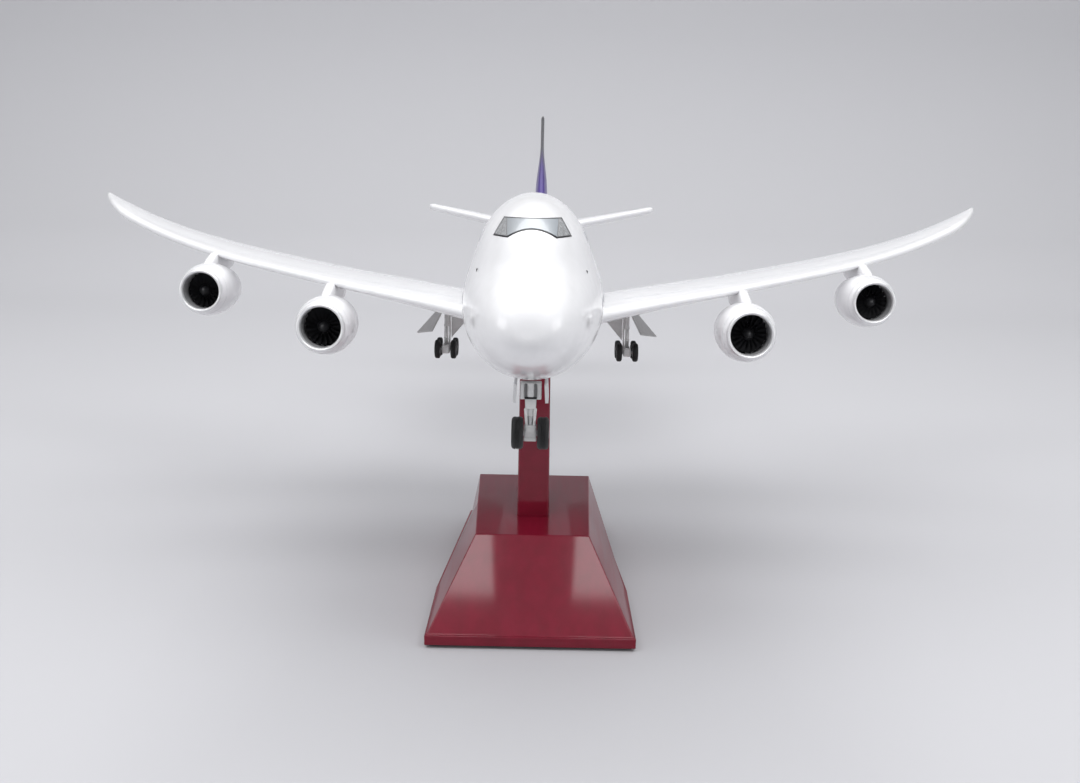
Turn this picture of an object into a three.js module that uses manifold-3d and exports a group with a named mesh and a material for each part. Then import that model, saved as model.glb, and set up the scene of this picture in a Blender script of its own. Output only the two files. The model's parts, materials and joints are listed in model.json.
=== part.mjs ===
// Desktop model of a four-engined, double-deck airliner on a lacquered wooden stand.
// Millimetres, +Z up, the nose points to -Y and the aircraft's port side is +X.
// The origin is the centre of the stand's underside.
import * as THREE from 'three';
import { mergeVertices } from 'three/addons/utils/BufferGeometryUtils.js';
import Module from 'manifold-3d';

const wasm = await Module();
wasm.setup();

// ---------------------------------------------------------------- driving dimensions
const SCALE = 1000 / 150;            // millimetres of model for each metre of the full-size aircraft
const GAP = 0.3;                     // clearance kept between neighbouring pieces
const SEAM = 0.15;                   // half of the gap between the two fuselage halves
const NOSE_UP = THREE.MathUtils.degToRad(7);
// The belly's point over the post, and its level above the table.
const SEAT = { station: 31, height: 2.2, z: 104.8 };

// Aircraft, in full-size metres. Stations run aft from the nose, heights run up from the wheels' ground.
const HULL = { length: 74.2, halfWidth: 3.1, keel: 2.15, crown: 8.65, tipHeight: 5.2 };
const NOSE = { length: 18, fullness: 1.6, bluntness: 0.33, keelBluntness: 0.445 };
const TAIL = { start: 48, keelRise: 5.2, keelPower: 1.7, crownDrop: 0.5, endHalfWidth: 0.5, sidePower: 1.9 };
const UPPER_DECK = {
  start: 1.8, noseLength: 8.2, risePower: 2.2, noseBase: 7.0, crown: 9.78, crownPower: 0.75,
  halfWidth: 2.15, sidePower: 0.6, fadeStart: 25, fadeEnd: 37, fadeDrop: 2.4, fadeNarrow: 0.3,
  centreShare: 0.37,
};
const LOBE_BLEND = 9;                // how sharply the two lobes of the hull meet
const WALL = 0.3;                    // fuselage wall
const WING = {
  root: 2.7, tip: 33, rootHeight: 3.75, rootDroop: 0.2, rootFade: 4.5, dihedral: 0.1215, tipBend: 2.51,
  bendPower: 5, rootIncidence: 0.5, tipIncidence: -6, pivotShare: 0.5, thickness: 0.64,
  rootThickening: 0.7, tipThinning: 0.3,
};
const WING_EDGE = {
  leadRoot: 21.75, sweep: 0.9, trailRoot: 38.7, kink: 11.7, trailKink: 39.9, trailSweep: 0.546,
  rake: 30, rakeLead: 1.05, rakeCurl: 0.21, rakeTrail: 0.62,
};
const TAILPLANE = {
  root: 0.95, tip: 10.5, height: 7.95, rise: 0.2, leadRoot: 61.59, sweep: 0.85, trailRoot: 71.17,
  trailSweep: 0.14, rootThickness: 0.95, tipThickness: 0.55,
};
const FIN = {
  foot: 8.1, top: 18.6, leadFoot: 59.2, sweep: 1.14, trailFoot: 72.4, trailSweep: 0.33, fillet: 5.5,
  filletRise: 3.4, filletPower: 2.2, footThickness: 0.98, tipThickness: 0.24, thinFrom: 3.3, thinOver: 4.2,
  tipCrop: 0.7, tipCropFrom: 18.2,
};
// Root tabs that plug into slots in the hull: length outward and along it, and where their middles are.
const WING_TAB = { across: 1.7, along: 6.5, x: 2.75, station: 29.5, height: 4.15, thickness: 2.4 };
const TAILPLANE_TAB = { across: 1.3, along: 3, x: 1.1, station: 67, thickness: 1.2 };
const FIN_TAB = { along: 5, deep: 1.2, station: 66, height: 7.9, thickness: 1.6 };
const ENGINES = [
  { name: 'inner', x: 11.8, station: 26.3, height: 2.75 },
  { name: 'outer', x: 20.9, station: 34.5, height: 4.1 },
];
const NOSE_GEAR = { station: 7.8, axle: 0.71 };
const MAIN_GEARS = [
  { name: 'wing', x: 5.72, station: 35.95, axle: 0.67, top: 4.25, skin: 5 },
  { name: 'body', x: 1.92, station: 38.8, axle: 0.67, top: 2.6, skin: 5 },
];

// Pieces sized directly in millimetres.
const LIP = { front: 8.2, outer: 8.95, inner: 7.45, depth: 1.5 };
const COWL = { length: 30, widest: 11.1, exit: 8.9, exitInner: 8.5, fanCase: 7.9 };
const FAN = {
  face: 7.6, tip: 7.1, hub: 2.4, blades: 18, chord: 1.9, thickness: 0.5, root: 0.3, bore: 1.15, shaft: 0.9,
};
const FAN_PITCH = THREE.MathUtils.degToRad(38);
const CORE = { front: 9.6, radius: 5.2, nozzle: 41, plug: 46.5 };
const VANES = { count: 5, thickness: 0.8, chord: 4, middle: 13, inner: 3.1, outer: 7.9 };
const MAIN_WHEEL = { radius: 3.95, width: 2.3, track: 6.7, axle: 0.55, bore: 0.8, wheelbase: 9.6 };
const NOSE_WHEEL = { radius: 4.15, width: 3, offset: 3.25, bore: 0.95, axle: 0.7, rim: 2.2, dish: 0.6 };
const TREAD = { shoulder: 0.65, round: 0.7 };
const BOGIE = { width: 3, height: 3, overhang: 1.5 };
const LEG = { piston: 1, cylinder: 1.3, cylinderShare: 0.5, linkReach: 3.2, linkThickness: 0.9 };
const BASE = {
  front: -61, back: 61, kink: -21, halfFront: 38.7, halfKink: 38.1, halfBack: 30,
  felt: 1, plinth: 5, ledge: 0.8, top: 33.5, topFront: -33.4, topBack: 33, topHalfFront: 21.7,
  topHalfBack: 23.9,
};
const FELT_INSET = 1.5;
const POST = { footWidth: 12.6, footDepth: 30, headWidth: 11.6, headDepth: 27, corner: 1.2 };
const PIN = { radius: 2.5, above: 14, below: 12, clearance: 0.3 };
const PIN_BOSS = { radius: 6, roof: 3 };
const SCREW = { shank: 1.6, head: 4.5, headHeight: 3, headLevel: 4.5, reach: 18 };

// ---------------------------------------------------------------- materials
const finish = (color, roughness, metalness = 0) => (
  new THREE.MeshStandardMaterial({ color, roughness, metalness })
);
const WHITE = finish(0xf2f2f2, 0.22);
const VIOLET = finish(0x33257a, 0.3);
const GLAZING = finish(0x8d9496, 0.15, 0.2);
const SILVER = finish(0xb9bcbc, 0.35, 0.9);
const GREY = finish(0x8b8989, 0.45);
const DARK = finish(0x17171a, 0.5);
const TYRE = finish(0x141416, 0.8);
const RED_WOOD = finish(0x6b0f22, 0.2);
const STEEL = finish(0x9a9c9e, 0.35, 0.9);
const FELT = finish(0x1c1c1e, 0.95);

// ---------------------------------------------------------------- small tools
const { Vector2, Vector3 } = THREE;
const clamp01 = (t) => Math.min(1, Math.max(0, t));
const smooth = (t) => { const c = clamp01(t); return c * c * (3 - 2 * c); };
const lerp = THREE.MathUtils.lerp;
const yOf = (station) => (station - SEAT.station) * SCALE;
const zOf = (height) => (height - SEAT.height) * SCALE;
const at = (x, station, height) => new Vector3(x * SCALE, yOf(station), zOf(height));

const WELD = 1e-4;                   // points closer than this are one vertex

// A BufferGeometry becomes a manifold solid, with its faces turned outward.
function solid(geometry) {
  const bare = geometry.clone();
  bare.deleteAttribute('normal');
  bare.deleteAttribute('uv');
  const merged = mergeVertices(bare, WELD);
  const position = merged.attributes.position;
  const kept = [];
  let volume = 0;
  for (let i = 0; i < merged.index.count; i += 3) {
    const [a, b, c] = [0, 1, 2].map((k) => merged.index.getX(i + k));
    if (a === b || b === c || c === a) continue;
    kept.push([a, b, c]);
    const [p, q, r] = [a, b, c].map((v) => new Vector3().fromBufferAttribute(position, v));
    volume += p.dot(q.cross(r));
  }
  const faces = volume < 0 ? kept.map(([a, b, c]) => [a, c, b]) : kept;
  const vertProperties = new Float32Array(position.array);
  const triVerts = new Uint32Array(faces.flat());
  return new wasm.Manifold(new wasm.Mesh({ numProp: 3, vertProperties, triVerts }));
}

function geometryOf(shape) {
  const mesh = shape.getMesh();
  const geometry = new THREE.BufferGeometry();
  geometry.setAttribute('position', new THREE.BufferAttribute(new Float32Array(mesh.vertProperties), 3));
  geometry.setIndex(new THREE.BufferAttribute(new Uint32Array(mesh.triVerts), 1));
  geometry.computeVertexNormals();
  return geometry;
}

const join = (...shapes) => shapes.reduce((a, b) => a.add(b));
const cut = (shape, ...tools) => tools.reduce((a, b) => a.subtract(b), shape);

// A closed skin through rings of points, all of one count, with a fan over each end ring.
function loft(rings) {
  const count = rings[0].length;
  const points = rings.flat();
  const faces = [];
  for (let r = 0; r + 1 < rings.length; r++) {
    for (let k = 0; k < count; k++) {
      const a = r * count + k;
      const b = r * count + (k + 1) % count;
      faces.push(a, b, a + count, b, b + count, a + count);
    }
  }
  for (const [ring, first, order] of [[rings[0], 0, 1], [rings.at(-1), points.length - count, -1]]) {
    const centre = points.length;
    points.push(ring.reduce((sum, p) => sum.add(p), new Vector3()).divideScalar(count));
    for (let k = 0; k < count; k++) {
      const edge = [first + k, first + (k + 1) % count];
      if (order > 0) edge.reverse();
      faces.push(centre, ...edge);
    }
  }
  const geometry = new THREE.BufferGeometry().setFromPoints(points);
  geometry.setIndex(faces);
  return solid(geometry);
}

function box(width, depth, height, x = 0, y = 0, z = 0) {
  return solid(new THREE.BoxGeometry(width, depth, height).translate(x, y, z));
}

// A round bar from one point to another.
function rod(from, to, radius, sides = 10) {
  const axis = new Vector3().subVectors(to, from);
  const bar = new THREE.CylinderGeometry(radius, radius, axis.length(), sides);
  const turn = new THREE.Quaternion().setFromUnitVectors(new Vector3(0, 1, 0), axis.clone().normalize());
  bar.applyQuaternion(turn);
  const middle = new Vector3().addVectors(from, to).multiplyScalar(0.5);
  return solid(bar.translate(middle.x, middle.y, middle.z));
}

// A solid of revolution about Y from [radius, y] pairs. Closed profiles repeat their first pair.
function turned(profile, sides) {
  return solid(new THREE.LatheGeometry(profile.map(([r, y]) => new Vector2(r, y)), sides));
}

// A flat plate with its outline in the Y-Z plane, centred on X.
function plate(outline, thickness) {
  const shape = new THREE.Shape(outline.map(([y, z]) => new Vector2(y, z)));
  const slab = new THREE.ExtrudeGeometry(shape, { depth: thickness, bevelEnabled: false });
  slab.translate(0, 0, -thickness / 2);
  const axes = [new Vector3(0, 1, 0), new Vector3(0, 0, 1), new Vector3(1, 0, 0)];
  slab.applyMatrix4(new THREE.Matrix4().makeBasis(...axes));
  return solid(slab);
}

const move = (shape, x, y, z) => shape.translate([x, y, z]);
const mirrored = (shape, side) => (side > 0 ? shape : shape.mirror([1, 0, 0]));
const SIDES = [{ name: 'port', sign: 1 }, { name: 'starboard', sign: -1 }];

function addPiece(group, name, shape, material) {
  const mesh = new THREE.Mesh(geometryOf(shape), material);
  mesh.name = name;
  group.add(mesh);
  return mesh;
}

// ---------------------------------------------------------------- fuselage form
const noseCurve = (t, bluntness = NOSE.bluntness) => (
  Math.pow(1 - Math.pow(1 - clamp01(t), NOSE.fullness), bluntness)
);

// Lower and upper lobes of the hull at a station, as ellipses that both hold the point at height `middle`.
function lobesAt(station) {
  const ahead = station / NOSE.length;
  const aft = clamp01((station - TAIL.start) / (HULL.length - TAIL.start));
  const keelShare = noseCurve(ahead, NOSE.keelBluntness);
  const keel = lerp(HULL.tipHeight, HULL.keel, keelShare) + TAIL.keelRise * Math.pow(aft, TAIL.keelPower);
  const crown = lerp(HULL.tipHeight, HULL.crown, noseCurve(ahead)) - TAIL.crownDrop * aft * aft;
  const narrowing = (HULL.halfWidth - TAIL.endHalfWidth) * Math.pow(aft, TAIL.sidePower);
  const halfWidth = HULL.halfWidth * noseCurve(ahead) - narrowing;
  const middle = (keel + crown) / 2;
  const deck = UPPER_DECK;
  const into = clamp01((station - deck.start) / deck.noseLength);
  const rise = 1 - Math.pow(1 - into, deck.risePower);
  const fade = smooth((station - deck.fadeStart) / (deck.fadeEnd - deck.fadeStart));
  const deckCrown = lerp(deck.noseBase, deck.crown, Math.pow(rise, deck.crownPower)) - deck.fadeDrop * fade;
  const deckHalf = deck.halfWidth * Math.pow(rise, deck.sidePower) * (1 - deck.fadeNarrow * fade);
  const deckReach = into > 0 && aft === 0 ? Math.max(0, deckCrown - middle) : 0;
  const deckCentre = deck.centreShare * deckReach;
  return { middle, keel, crown, halfWidth, deckHalf, deckCentre, deckRise: deckReach - deckCentre };
}

// Distance from the middle point to an ellipse raised by `lift`, along a direction.
function reachTo(direction, lift, halfWidth, halfHeight) {
  const [sx, sz] = direction;
  const a = (sx / halfWidth) ** 2 + (sz / halfHeight) ** 2;
  const b = sz * lift / halfHeight ** 2;
  const c = (lift / halfHeight) ** 2 - 1;
  return (b + Math.sqrt(Math.max(0, b * b - a * c))) / a;
}

const LEAST_LOBE = 0.05;             // an upper lobe smaller than this is left out

// One ring of hull points, `grow` metres outside the skin, in the aircraft's frame.
function hullRing(station, sides, grow) {
  const lobes = lobesAt(station);
  const ring = [];
  for (let k = 0; k < sides; k++) {
    const angle = 2 * Math.PI * k / sides;
    const direction = [Math.sin(angle), -Math.cos(angle)];
    const lower = reachTo(direction, 0, lobes.halfWidth, (lobes.crown - lobes.keel) / 2);
    const hasDeck = Math.min(lobes.deckRise, lobes.deckHalf) > LEAST_LOBE;
    const upper = hasDeck ? reachTo(direction, lobes.deckCentre, lobes.deckHalf, lobes.deckRise) : 0;
    const reach = Math.pow(lower ** LOBE_BLEND + Math.max(0, upper) ** LOBE_BLEND, 1 / LOBE_BLEND) + grow;
    ring.push(at(direction[0] * reach, station, lobes.middle + direction[1] * reach));
  }
  return ring;
}

const HULL_STATIONS = [
  0.002, 0.06, 0.3, 0.8, 1.5, 2.3, 3.2, 4.2, 5.6, 7.6, 10.5, 14, 18,
  25, 28, 31, 34, 38, 48, 52, 56, 60, 64, 68, 71.5, 74.2,
];
const CAVITY_STATIONS = [2.4, 4.4, 7, 11, 25, 29, 33, 38, 48, 54, 60, 66, 71];
const HULL_SIDES = 28;
const CAVITY_SIDES = 14;
const hullSolid = (grow) => loft(HULL_STATIONS.map((station) => hullRing(station, HULL_SIDES, grow)));
const hull = hullSolid(0);
const hullClear = hullSolid(GAP / SCALE);
const cavity = loft(CAVITY_STATIONS.map((station) => hullRing(station, CAVITY_SIDES, -WALL)));

// ---------------------------------------------------------------- lifting surfaces
// Half thickness of a rounded section along its chord, as a share of the full thickness.
const sectionHalf = (t) => (
  1.4845 * Math.sqrt(t) - 0.63 * t - 1.758 * t * t + 1.4215 * t ** 3 - 0.5075 * t ** 4
);
const CHORD_STEPS = [0, 0.03, 0.12, 0.3, 0.5, 0.75, 1];

// A closed ring of a lifting surface's section. `span` maps the chord to the aircraft's frame.
function sectionRing(lead, trail, thickness, edge, span) {
  const chord = trail - lead;
  const half = (t) => thickness * sectionHalf(t) + edge;
  const top = CHORD_STEPS.map((t) => span(lead + t * chord, half(t)));
  const bottom = CHORD_STEPS.slice().reverse().map((t) => span(lead + t * chord, -half(t)));
  return [...top, ...bottom];
}

function wingEdges(x) {
  const raked = Math.max(0, x - WING_EDGE.rake);
  const straight = Math.min(x, WING_EDGE.rake);
  const lead = WING_EDGE.leadRoot + WING_EDGE.sweep * (straight - HULL.halfWidth)
    + WING_EDGE.rakeLead * raked + WING_EDGE.rakeCurl * raked * raked;
  const inboard = Math.min(straight, WING_EDGE.kink);
  const toKink = (WING_EDGE.trailKink - WING_EDGE.trailRoot) / (WING_EDGE.kink - HULL.halfWidth);
  const trail = WING_EDGE.trailRoot + toKink * (inboard - HULL.halfWidth)
    + WING_EDGE.trailSweep * Math.max(0, straight - WING_EDGE.kink) + WING_EDGE.rakeTrail * raked;
  return { lead, trail };
}

const rootShare = (x) => Math.exp(-(x - HULL.halfWidth) / WING.rootFade);
const wingBend = (x) => WING.tipBend * Math.pow(x / WING.tip, WING.bendPower);
const wingHeight = (x) => WING.rootHeight - WING.rootDroop * rootShare(x) + WING.dihedral * x + wingBend(x);
const tipShare = (x) => smooth((x - WING_EDGE.rake) / (WING.tip - WING_EDGE.rake));
const wingThickness = (x) => (
  (WING.thickness + WING.rootThickening * rootShare(x)) * (1 - WING.tipThinning * tipShare(x))
);
// The wing washes out: its incidence, in degrees, falls evenly from the root to the tip.
const incidenceAt = (x) => (
  lerp(WING.rootIncidence, WING.tipIncidence, (x - WING.root) / (WING.tip - WING.root))
);
const wingTilt = (x) => Math.tan(THREE.MathUtils.degToRad(incidenceAt(x)));
const WING_SPANS = [2.7, 4.2, 6, 9, 11.7, 16, 20.8, 25, 28, 30, 31.2, 32.2, 32.7, 33];
const EDGE_HALF = 0.035;             // half thickness of a trailing edge

function wingRing(x, grow) {
  const { lead, trail } = wingEdges(x);
  const pivot = lerp(lead, trail, WING.pivotShare);
  const tilt = wingTilt(x);
  const lift = (station, z) => at(x, station, wingHeight(x) + z - (station - pivot) * tilt);
  return sectionRing(lead - grow, trail + grow, wingThickness(x), EDGE_HALF + grow, lift);
}

const wingForm = (grow) => loft(WING_SPANS.map((x) => wingRing(x, grow)));
const wingClear = wingForm(GAP / SCALE);

// A wing's or tailplane's root tab, or the slot for it where it is grown.
function rootTab(tab, height, grow) {
  const size = [tab.across * SCALE, tab.along * SCALE, tab.thickness].map((length) => length + 2 * grow);
  return box(...size, tab.x * SCALE, yOf(tab.station), zOf(height));
}

const wingTab = (grow) => rootTab(WING_TAB, WING_TAB.height, grow);

const tailplaneHeight = (x) => TAILPLANE.height + TAILPLANE.rise * x;

function tailplaneRing(x) {
  const out = x - TAILPLANE.root;
  const lead = TAILPLANE.leadRoot + TAILPLANE.sweep * out;
  const trail = TAILPLANE.trailRoot + TAILPLANE.trailSweep * out;
  const share = out / (TAILPLANE.tip - TAILPLANE.root);
  const thickness = lerp(TAILPLANE.rootThickness, TAILPLANE.tipThickness, share);
  const lift = (station, z) => at(x, station, tailplaneHeight(x) + z);
  return sectionRing(lead, trail, thickness, EDGE_HALF, lift);
}

const tailplaneTab = (grow) => rootTab(TAILPLANE_TAB, tailplaneHeight(TAILPLANE_TAB.x), grow);

const TAILPLANE_SPANS = [TAILPLANE.root, 4, 8, 10.2, 10.5];
const FIN_HEIGHTS = [8.1, 9.2, 10.4, 11.4, 15.6, 17.9, 18.6];

function finRing(height) {
  const up = height - FIN.foot;
  const fillet = FIN.fillet * Math.pow(1 - clamp01(up / FIN.filletRise), FIN.filletPower);
  const lead = FIN.leadFoot + FIN.sweep * up - fillet + (height > FIN.tipCropFrom ? FIN.tipCrop : 0);
  const trail = FIN.trailFoot + FIN.trailSweep * up;
  const thickness = lerp(FIN.footThickness, FIN.tipThickness, clamp01((up - FIN.thinFrom) / FIN.thinOver));
  return sectionRing(lead, trail, thickness, EDGE_HALF, (station, x) => at(x, station, height));
}

function finTab(grow) {
  const bare = [FIN_TAB.thickness, FIN_TAB.along * SCALE, FIN_TAB.deep * SCALE];
  return box(...bare.map((length) => length + 2 * grow), 0, yOf(FIN_TAB.station), zOf(FIN_TAB.height));
}

// ---------------------------------------------------------------- aircraft
const aircraft = new THREE.Group();
aircraft.rotation.x = -NOSE_UP;
aircraft.position.z = SEAT.z;

// The belly fairing's outline in plan, and the level of its flat underside.
const FAIRING = {
  front: 20.5, back: 43, halfWidth: 3.42, bottom: 1.98, lowShoulder: 2.6, top: 3.5,
  endTrim: 0.04, power: 0.35,
};

function fairingForm() {
  const steps = [0, 0.08, 0.25, 0.5, 0.75, 0.92, 1];
  return loft(steps.map((t) => {
    const station = lerp(FAIRING.front, FAIRING.back, t);
    const full = Math.pow(Math.sin(Math.PI * lerp(FAIRING.endTrim, 1 - FAIRING.endTrim, t)), FAIRING.power);
    const half = FAIRING.halfWidth * full;
    const shoulder = lerp(FAIRING.lowShoulder, FAIRING.top, full);
    const outline = [[-0.45, FAIRING.bottom], [0.45, FAIRING.bottom], [0.8, 2.5], [1, 3.1], [0.97, shoulder]];
    const ring = outline.map(([u, height]) => at(u * half, station, height));
    return [...ring, ...outline.slice(2).reverse().map(([u, height]) => at(-u * half, station, height))];
  }));
}

// Pegs that hold the undercarriage legs in their sockets, which open far enough down to break the skin.
const PEG = { radius: 0.9, length: 2.5, socket: 1.2, depth: 3.5, mouth: 8 };
const legTop = (gear, side) => at(side * gear.x, gear.station, gear.top);

function legSockets(side) {
  return MAIN_GEARS.map((gear) => {
    const top = legTop(gear, side);
    return rod(top.clone().setZ(top.z - PEG.mouth), top.clone().setZ(top.z + PEG.depth), PEG.socket);
  });
}

const NOSE_SOCKET = { radius: 1.6, bottom: 1.5, top: 3.1 };
const noseSocket = rod(
  at(0, NOSE_GEAR.station, NOSE_SOCKET.bottom), at(0, NOSE_GEAR.station, NOSE_SOCKET.top), NOSE_SOCKET.radius,
);
const upright = (z0, z1, radius, sides) => rod(new Vector3(0, 0, z0), new Vector3(0, 0, z1), radius, sides);
const PIN_SIDES = 20;
const pinHole = upright(-PIN.below, PIN.above + PIN.clearance, PIN.radius + PIN.clearance, PIN_SIDES);

// The band of cockpit glass, as it is seen from ahead, cut from a skin under the hull's surface.
const GLASS_BAND = [[0, 8.43], [0.8, 8.15], [1.34, 8.22], [0.98, 8.8], [0, 8.8]];
const GLASS = { middleHeight: 8.5, aftStation: 7, reach: 6, thickness: 0.7, recess: 1, edgeGap: 0.15 };

function glassBand(grow, outside, depth) {
  const half = GLASS_BAND.map(([x, height]) => [x * SCALE, zOf(height)]);
  const outline = [...half, ...half.slice(1, -1).reverse().map(([x, z]) => [-x, z])];
  const middle = zOf(GLASS.middleHeight);
  const wider = outline.map(([x, z]) => (
    new Vector2(x + Math.sign(x) * grow, z + Math.sign(z - middle) * grow)
  ));
  const shape = new THREE.Shape(wider);
  const slab = new THREE.ExtrudeGeometry(shape, { depth: GLASS.reach * SCALE, bevelEnabled: false });
  slab.rotateX(Math.PI / 2).translate(0, yOf(GLASS.aftStation), 0);
  return solid(slab).intersect(outside).subtract(hullSolid(-depth / SCALE));
}

const glassRecess = glassBand(GLASS.edgeGap, hullClear, GLASS.recess);
const finBody = cut(loft(FIN_HEIGHTS.map(finRing)), hullClear);

// A block that holds all of one side of the hull, up to the seam.
const HALF_BLOCK = { width: 60, length: 540, height: 120, station: 37, middleHeight: 7 };

for (const { name, sign } of SIDES) {
  const { width, length, height } = HALF_BLOCK;
  const blockX = sign * (width / 2 + SEAM);
  const halfSpace = box(width, length, height, blockX, yOf(HALF_BLOCK.station), zOf(HALF_BLOCK.middleHeight));
  const openings = [wingTab(GAP), tailplaneTab(GAP)].map((tab) => mirrored(tab, sign));
  openings.push(finTab(GAP), glassRecess, pinHole, noseSocket, ...legSockets(sign));
  const shell = cut(hull, cavity, ...openings);
  addPiece(aircraft, `fuselage_${name}`, shell.intersect(halfSpace), WHITE);

  const wing = join(cut(wingForm(0), hullClear), wingTab(0));
  addPiece(aircraft, `wing_${name}`, cut(mirrored(wing, sign), ...legSockets(sign)), WHITE);
  const tailplane = join(cut(loft(TAILPLANE_SPANS.map(tailplaneRing)), hullClear), tailplaneTab(0));
  addPiece(aircraft, `tailplane_${name}`, mirrored(tailplane, sign), WHITE);
}
addPiece(aircraft, 'fin', join(finBody, finTab(0)), VIOLET);
addPiece(aircraft, 'cockpit_windows', glassBand(0, hull, GLASS.thickness), GLAZING);

const fairing = cut(
  fairingForm(), hullClear, wingClear, wingClear.mirror([1, 0, 0]), pinHole,
  ...legSockets(1), ...legSockets(-1),
);
addPiece(aircraft, 'belly_fairing', fairing, WHITE);

// A blind boss inside the belly that takes the stand's pin.
const boss = upright(0, PIN.above + PIN_BOSS.roof, PIN_BOSS.radius, PIN_SIDES);
const bossRoom = loft(CAVITY_STATIONS.map((station) => hullRing(station, CAVITY_SIDES, -WALL - GAP / SCALE)));
addPiece(aircraft, 'pin_socket', cut(boss.intersect(bossRoom), pinHole), WHITE);

// ---------------------------------------------------------------- engines
// Each engine is drawn about its own axis, Y, with the lip of its inlet at y = 0.
const ROUND = 20;
const LIP_JOINT = 0.2;               // gap between the lip and the cowl behind it

function lipForm() {
  const { front, outer, inner, depth } = LIP;
  const outline = [[front, 0], [outer - 0.25, 0.45], [outer, depth], [inner, depth], [inner + 0.2, 0.4]];
  return turned([...outline, outline[0]], ROUND);
}

function cowlOutline(start, grow) {
  const outline = [[9.05, start], [10.4, 5.2], [COWL.widest, 11], [10.7, 19], [COWL.exit, COWL.length]];
  return outline.map(([r, y]) => [r + grow, y]);
}

function cowlForm() {
  const front = LIP.depth + LIP_JOINT;
  const inside = [[COWL.exitInner, COWL.length], [8.7, 20], [COWL.fanCase, 10], [7.4, front]];
  const outside = cowlOutline(front, 0);
  return turned([...outside, ...inside, outside[0]], ROUND);
}

const cowlEnvelope = turned([[0, LIP.depth], ...cowlOutline(LIP.depth, GAP), [0, COWL.length]], ROUND);

// Fan bearing shaft, guide vanes, gas generator casing and exhaust plug in one piece.
function coreForm() {
  const { front, radius, nozzle, plug } = CORE;
  const body = turned([
    [0, 6.4], [FAN.shaft, 6.4], [FAN.shaft, front], [3.2, front], [4.6, 14], [radius, 22], [radius, 31],
    [4.1, nozzle - 1], [3.7, nozzle], [2.4, nozzle], [1.2, plug - 1.5], [0, plug],
  ], 16);
  const { count, thickness, chord, middle, inner, outer } = VANES;
  const vane = box(thickness, chord, outer - inner, 0, middle, (inner + outer) / 2);
  const vanes = Array.from({ length: count }, (_, k) => vane.rotate([0, 360 * k / count, 0]));
  return join(body, ...vanes);
}

function fanForm() {
  const { face, hub, bore, tip, blades, chord, thickness, root } = FAN;
  const inner = hub - root;
  const cone = [[0, 3.4], [1.4, 4.7], [hub, face - 1.2]];
  const spinner = turned([...cone, [hub, 9.2], [bore, 9.2], [bore, 6.1], [0, 6.1]], 12);
  const ring = Array.from({ length: blades }, (_, k) => {
    const blade = new THREE.BoxGeometry(chord, thickness, tip - inner);
    blade.rotateZ(FAN_PITCH).translate(0, face, (tip + inner) / 2);
    return solid(blade.rotateY(2 * Math.PI * k / blades));
  });
  return join(spinner, ...ring);
}

const PYLON_THICKNESS = 4.2;
const PYLON_OUTLINE = [
  [7, 9.5], [13, 12.6], [20, 15.5], [54, 16], [57, 15], [44, 8.2], [31, 6.4], [12, 6.4],
];

for (const engine of ENGINES) {
  for (const { name, sign } of SIDES) {
    const label = `${name}_${engine.name}`;
    const mount = at(sign * engine.x, engine.station, engine.height);
    const nacelle = new THREE.Group();
    nacelle.position.copy(mount);
    aircraft.add(nacelle);
    const wingHere = move(mirrored(wingClear, sign), -mount.x, -mount.y, -mount.z);
    const pylon = cut(plate(PYLON_OUTLINE, PYLON_THICKNESS), cowlEnvelope, wingHere);
    addPiece(nacelle, `pylon_${label}`, pylon, WHITE);
    addPiece(nacelle, `inlet_lip_${label}`, lipForm(), SILVER);
    addPiece(nacelle, `nacelle_${label}`, cowlForm(), WHITE);
    addPiece(nacelle, `engine_core_${label}`, coreForm(), GREY);
    addPiece(nacelle, `fan_${label}`, fanForm(), DARK);
  }
}

// ---------------------------------------------------------------- undercarriage
// A tyre's outline as [radius, x] pairs, outward from its inner face.
function tyreOutline({ radius, width }, inside) {
  const outside = inside + width;
  const wall = radius - TREAD.shoulder;
  return [[wall, inside], [radius, inside + TREAD.round], [radius, outside - TREAD.round], [wall, outside]];
}

const acrossX = (shape) => shape.rotate([0, 0, -90]);

// Two wheels fixed on one turning axle.
function wheelsetForm() {
  const inside = (MAIN_WHEEL.track - MAIN_WHEEL.width) / 2;
  const tyre = tyreOutline(MAIN_WHEEL, inside);
  const right = [[MAIN_WHEEL.axle, inside], ...tyre, [0, inside + MAIN_WHEEL.width]];
  const left = right.map(([r, x]) => [r, -x]).reverse();
  return acrossX(turned([...left, ...right], 14));
}

function noseWheelForm(sign) {
  const inside = NOSE_WHEEL.offset - NOSE_WHEEL.width / 2;
  const face = inside + NOSE_WHEEL.width;
  const dish = face - NOSE_WHEEL.dish;
  const hub = [[NOSE_WHEEL.rim, face], [NOSE_WHEEL.rim - 0.2, dish], [NOSE_WHEEL.bore, dish]];
  const ring = [[NOSE_WHEEL.bore, inside], ...tyreOutline(NOSE_WHEEL, inside), ...hub];
  return mirrored(acrossX(turned([...ring, ring[0]], 16)), sign);
}

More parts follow.
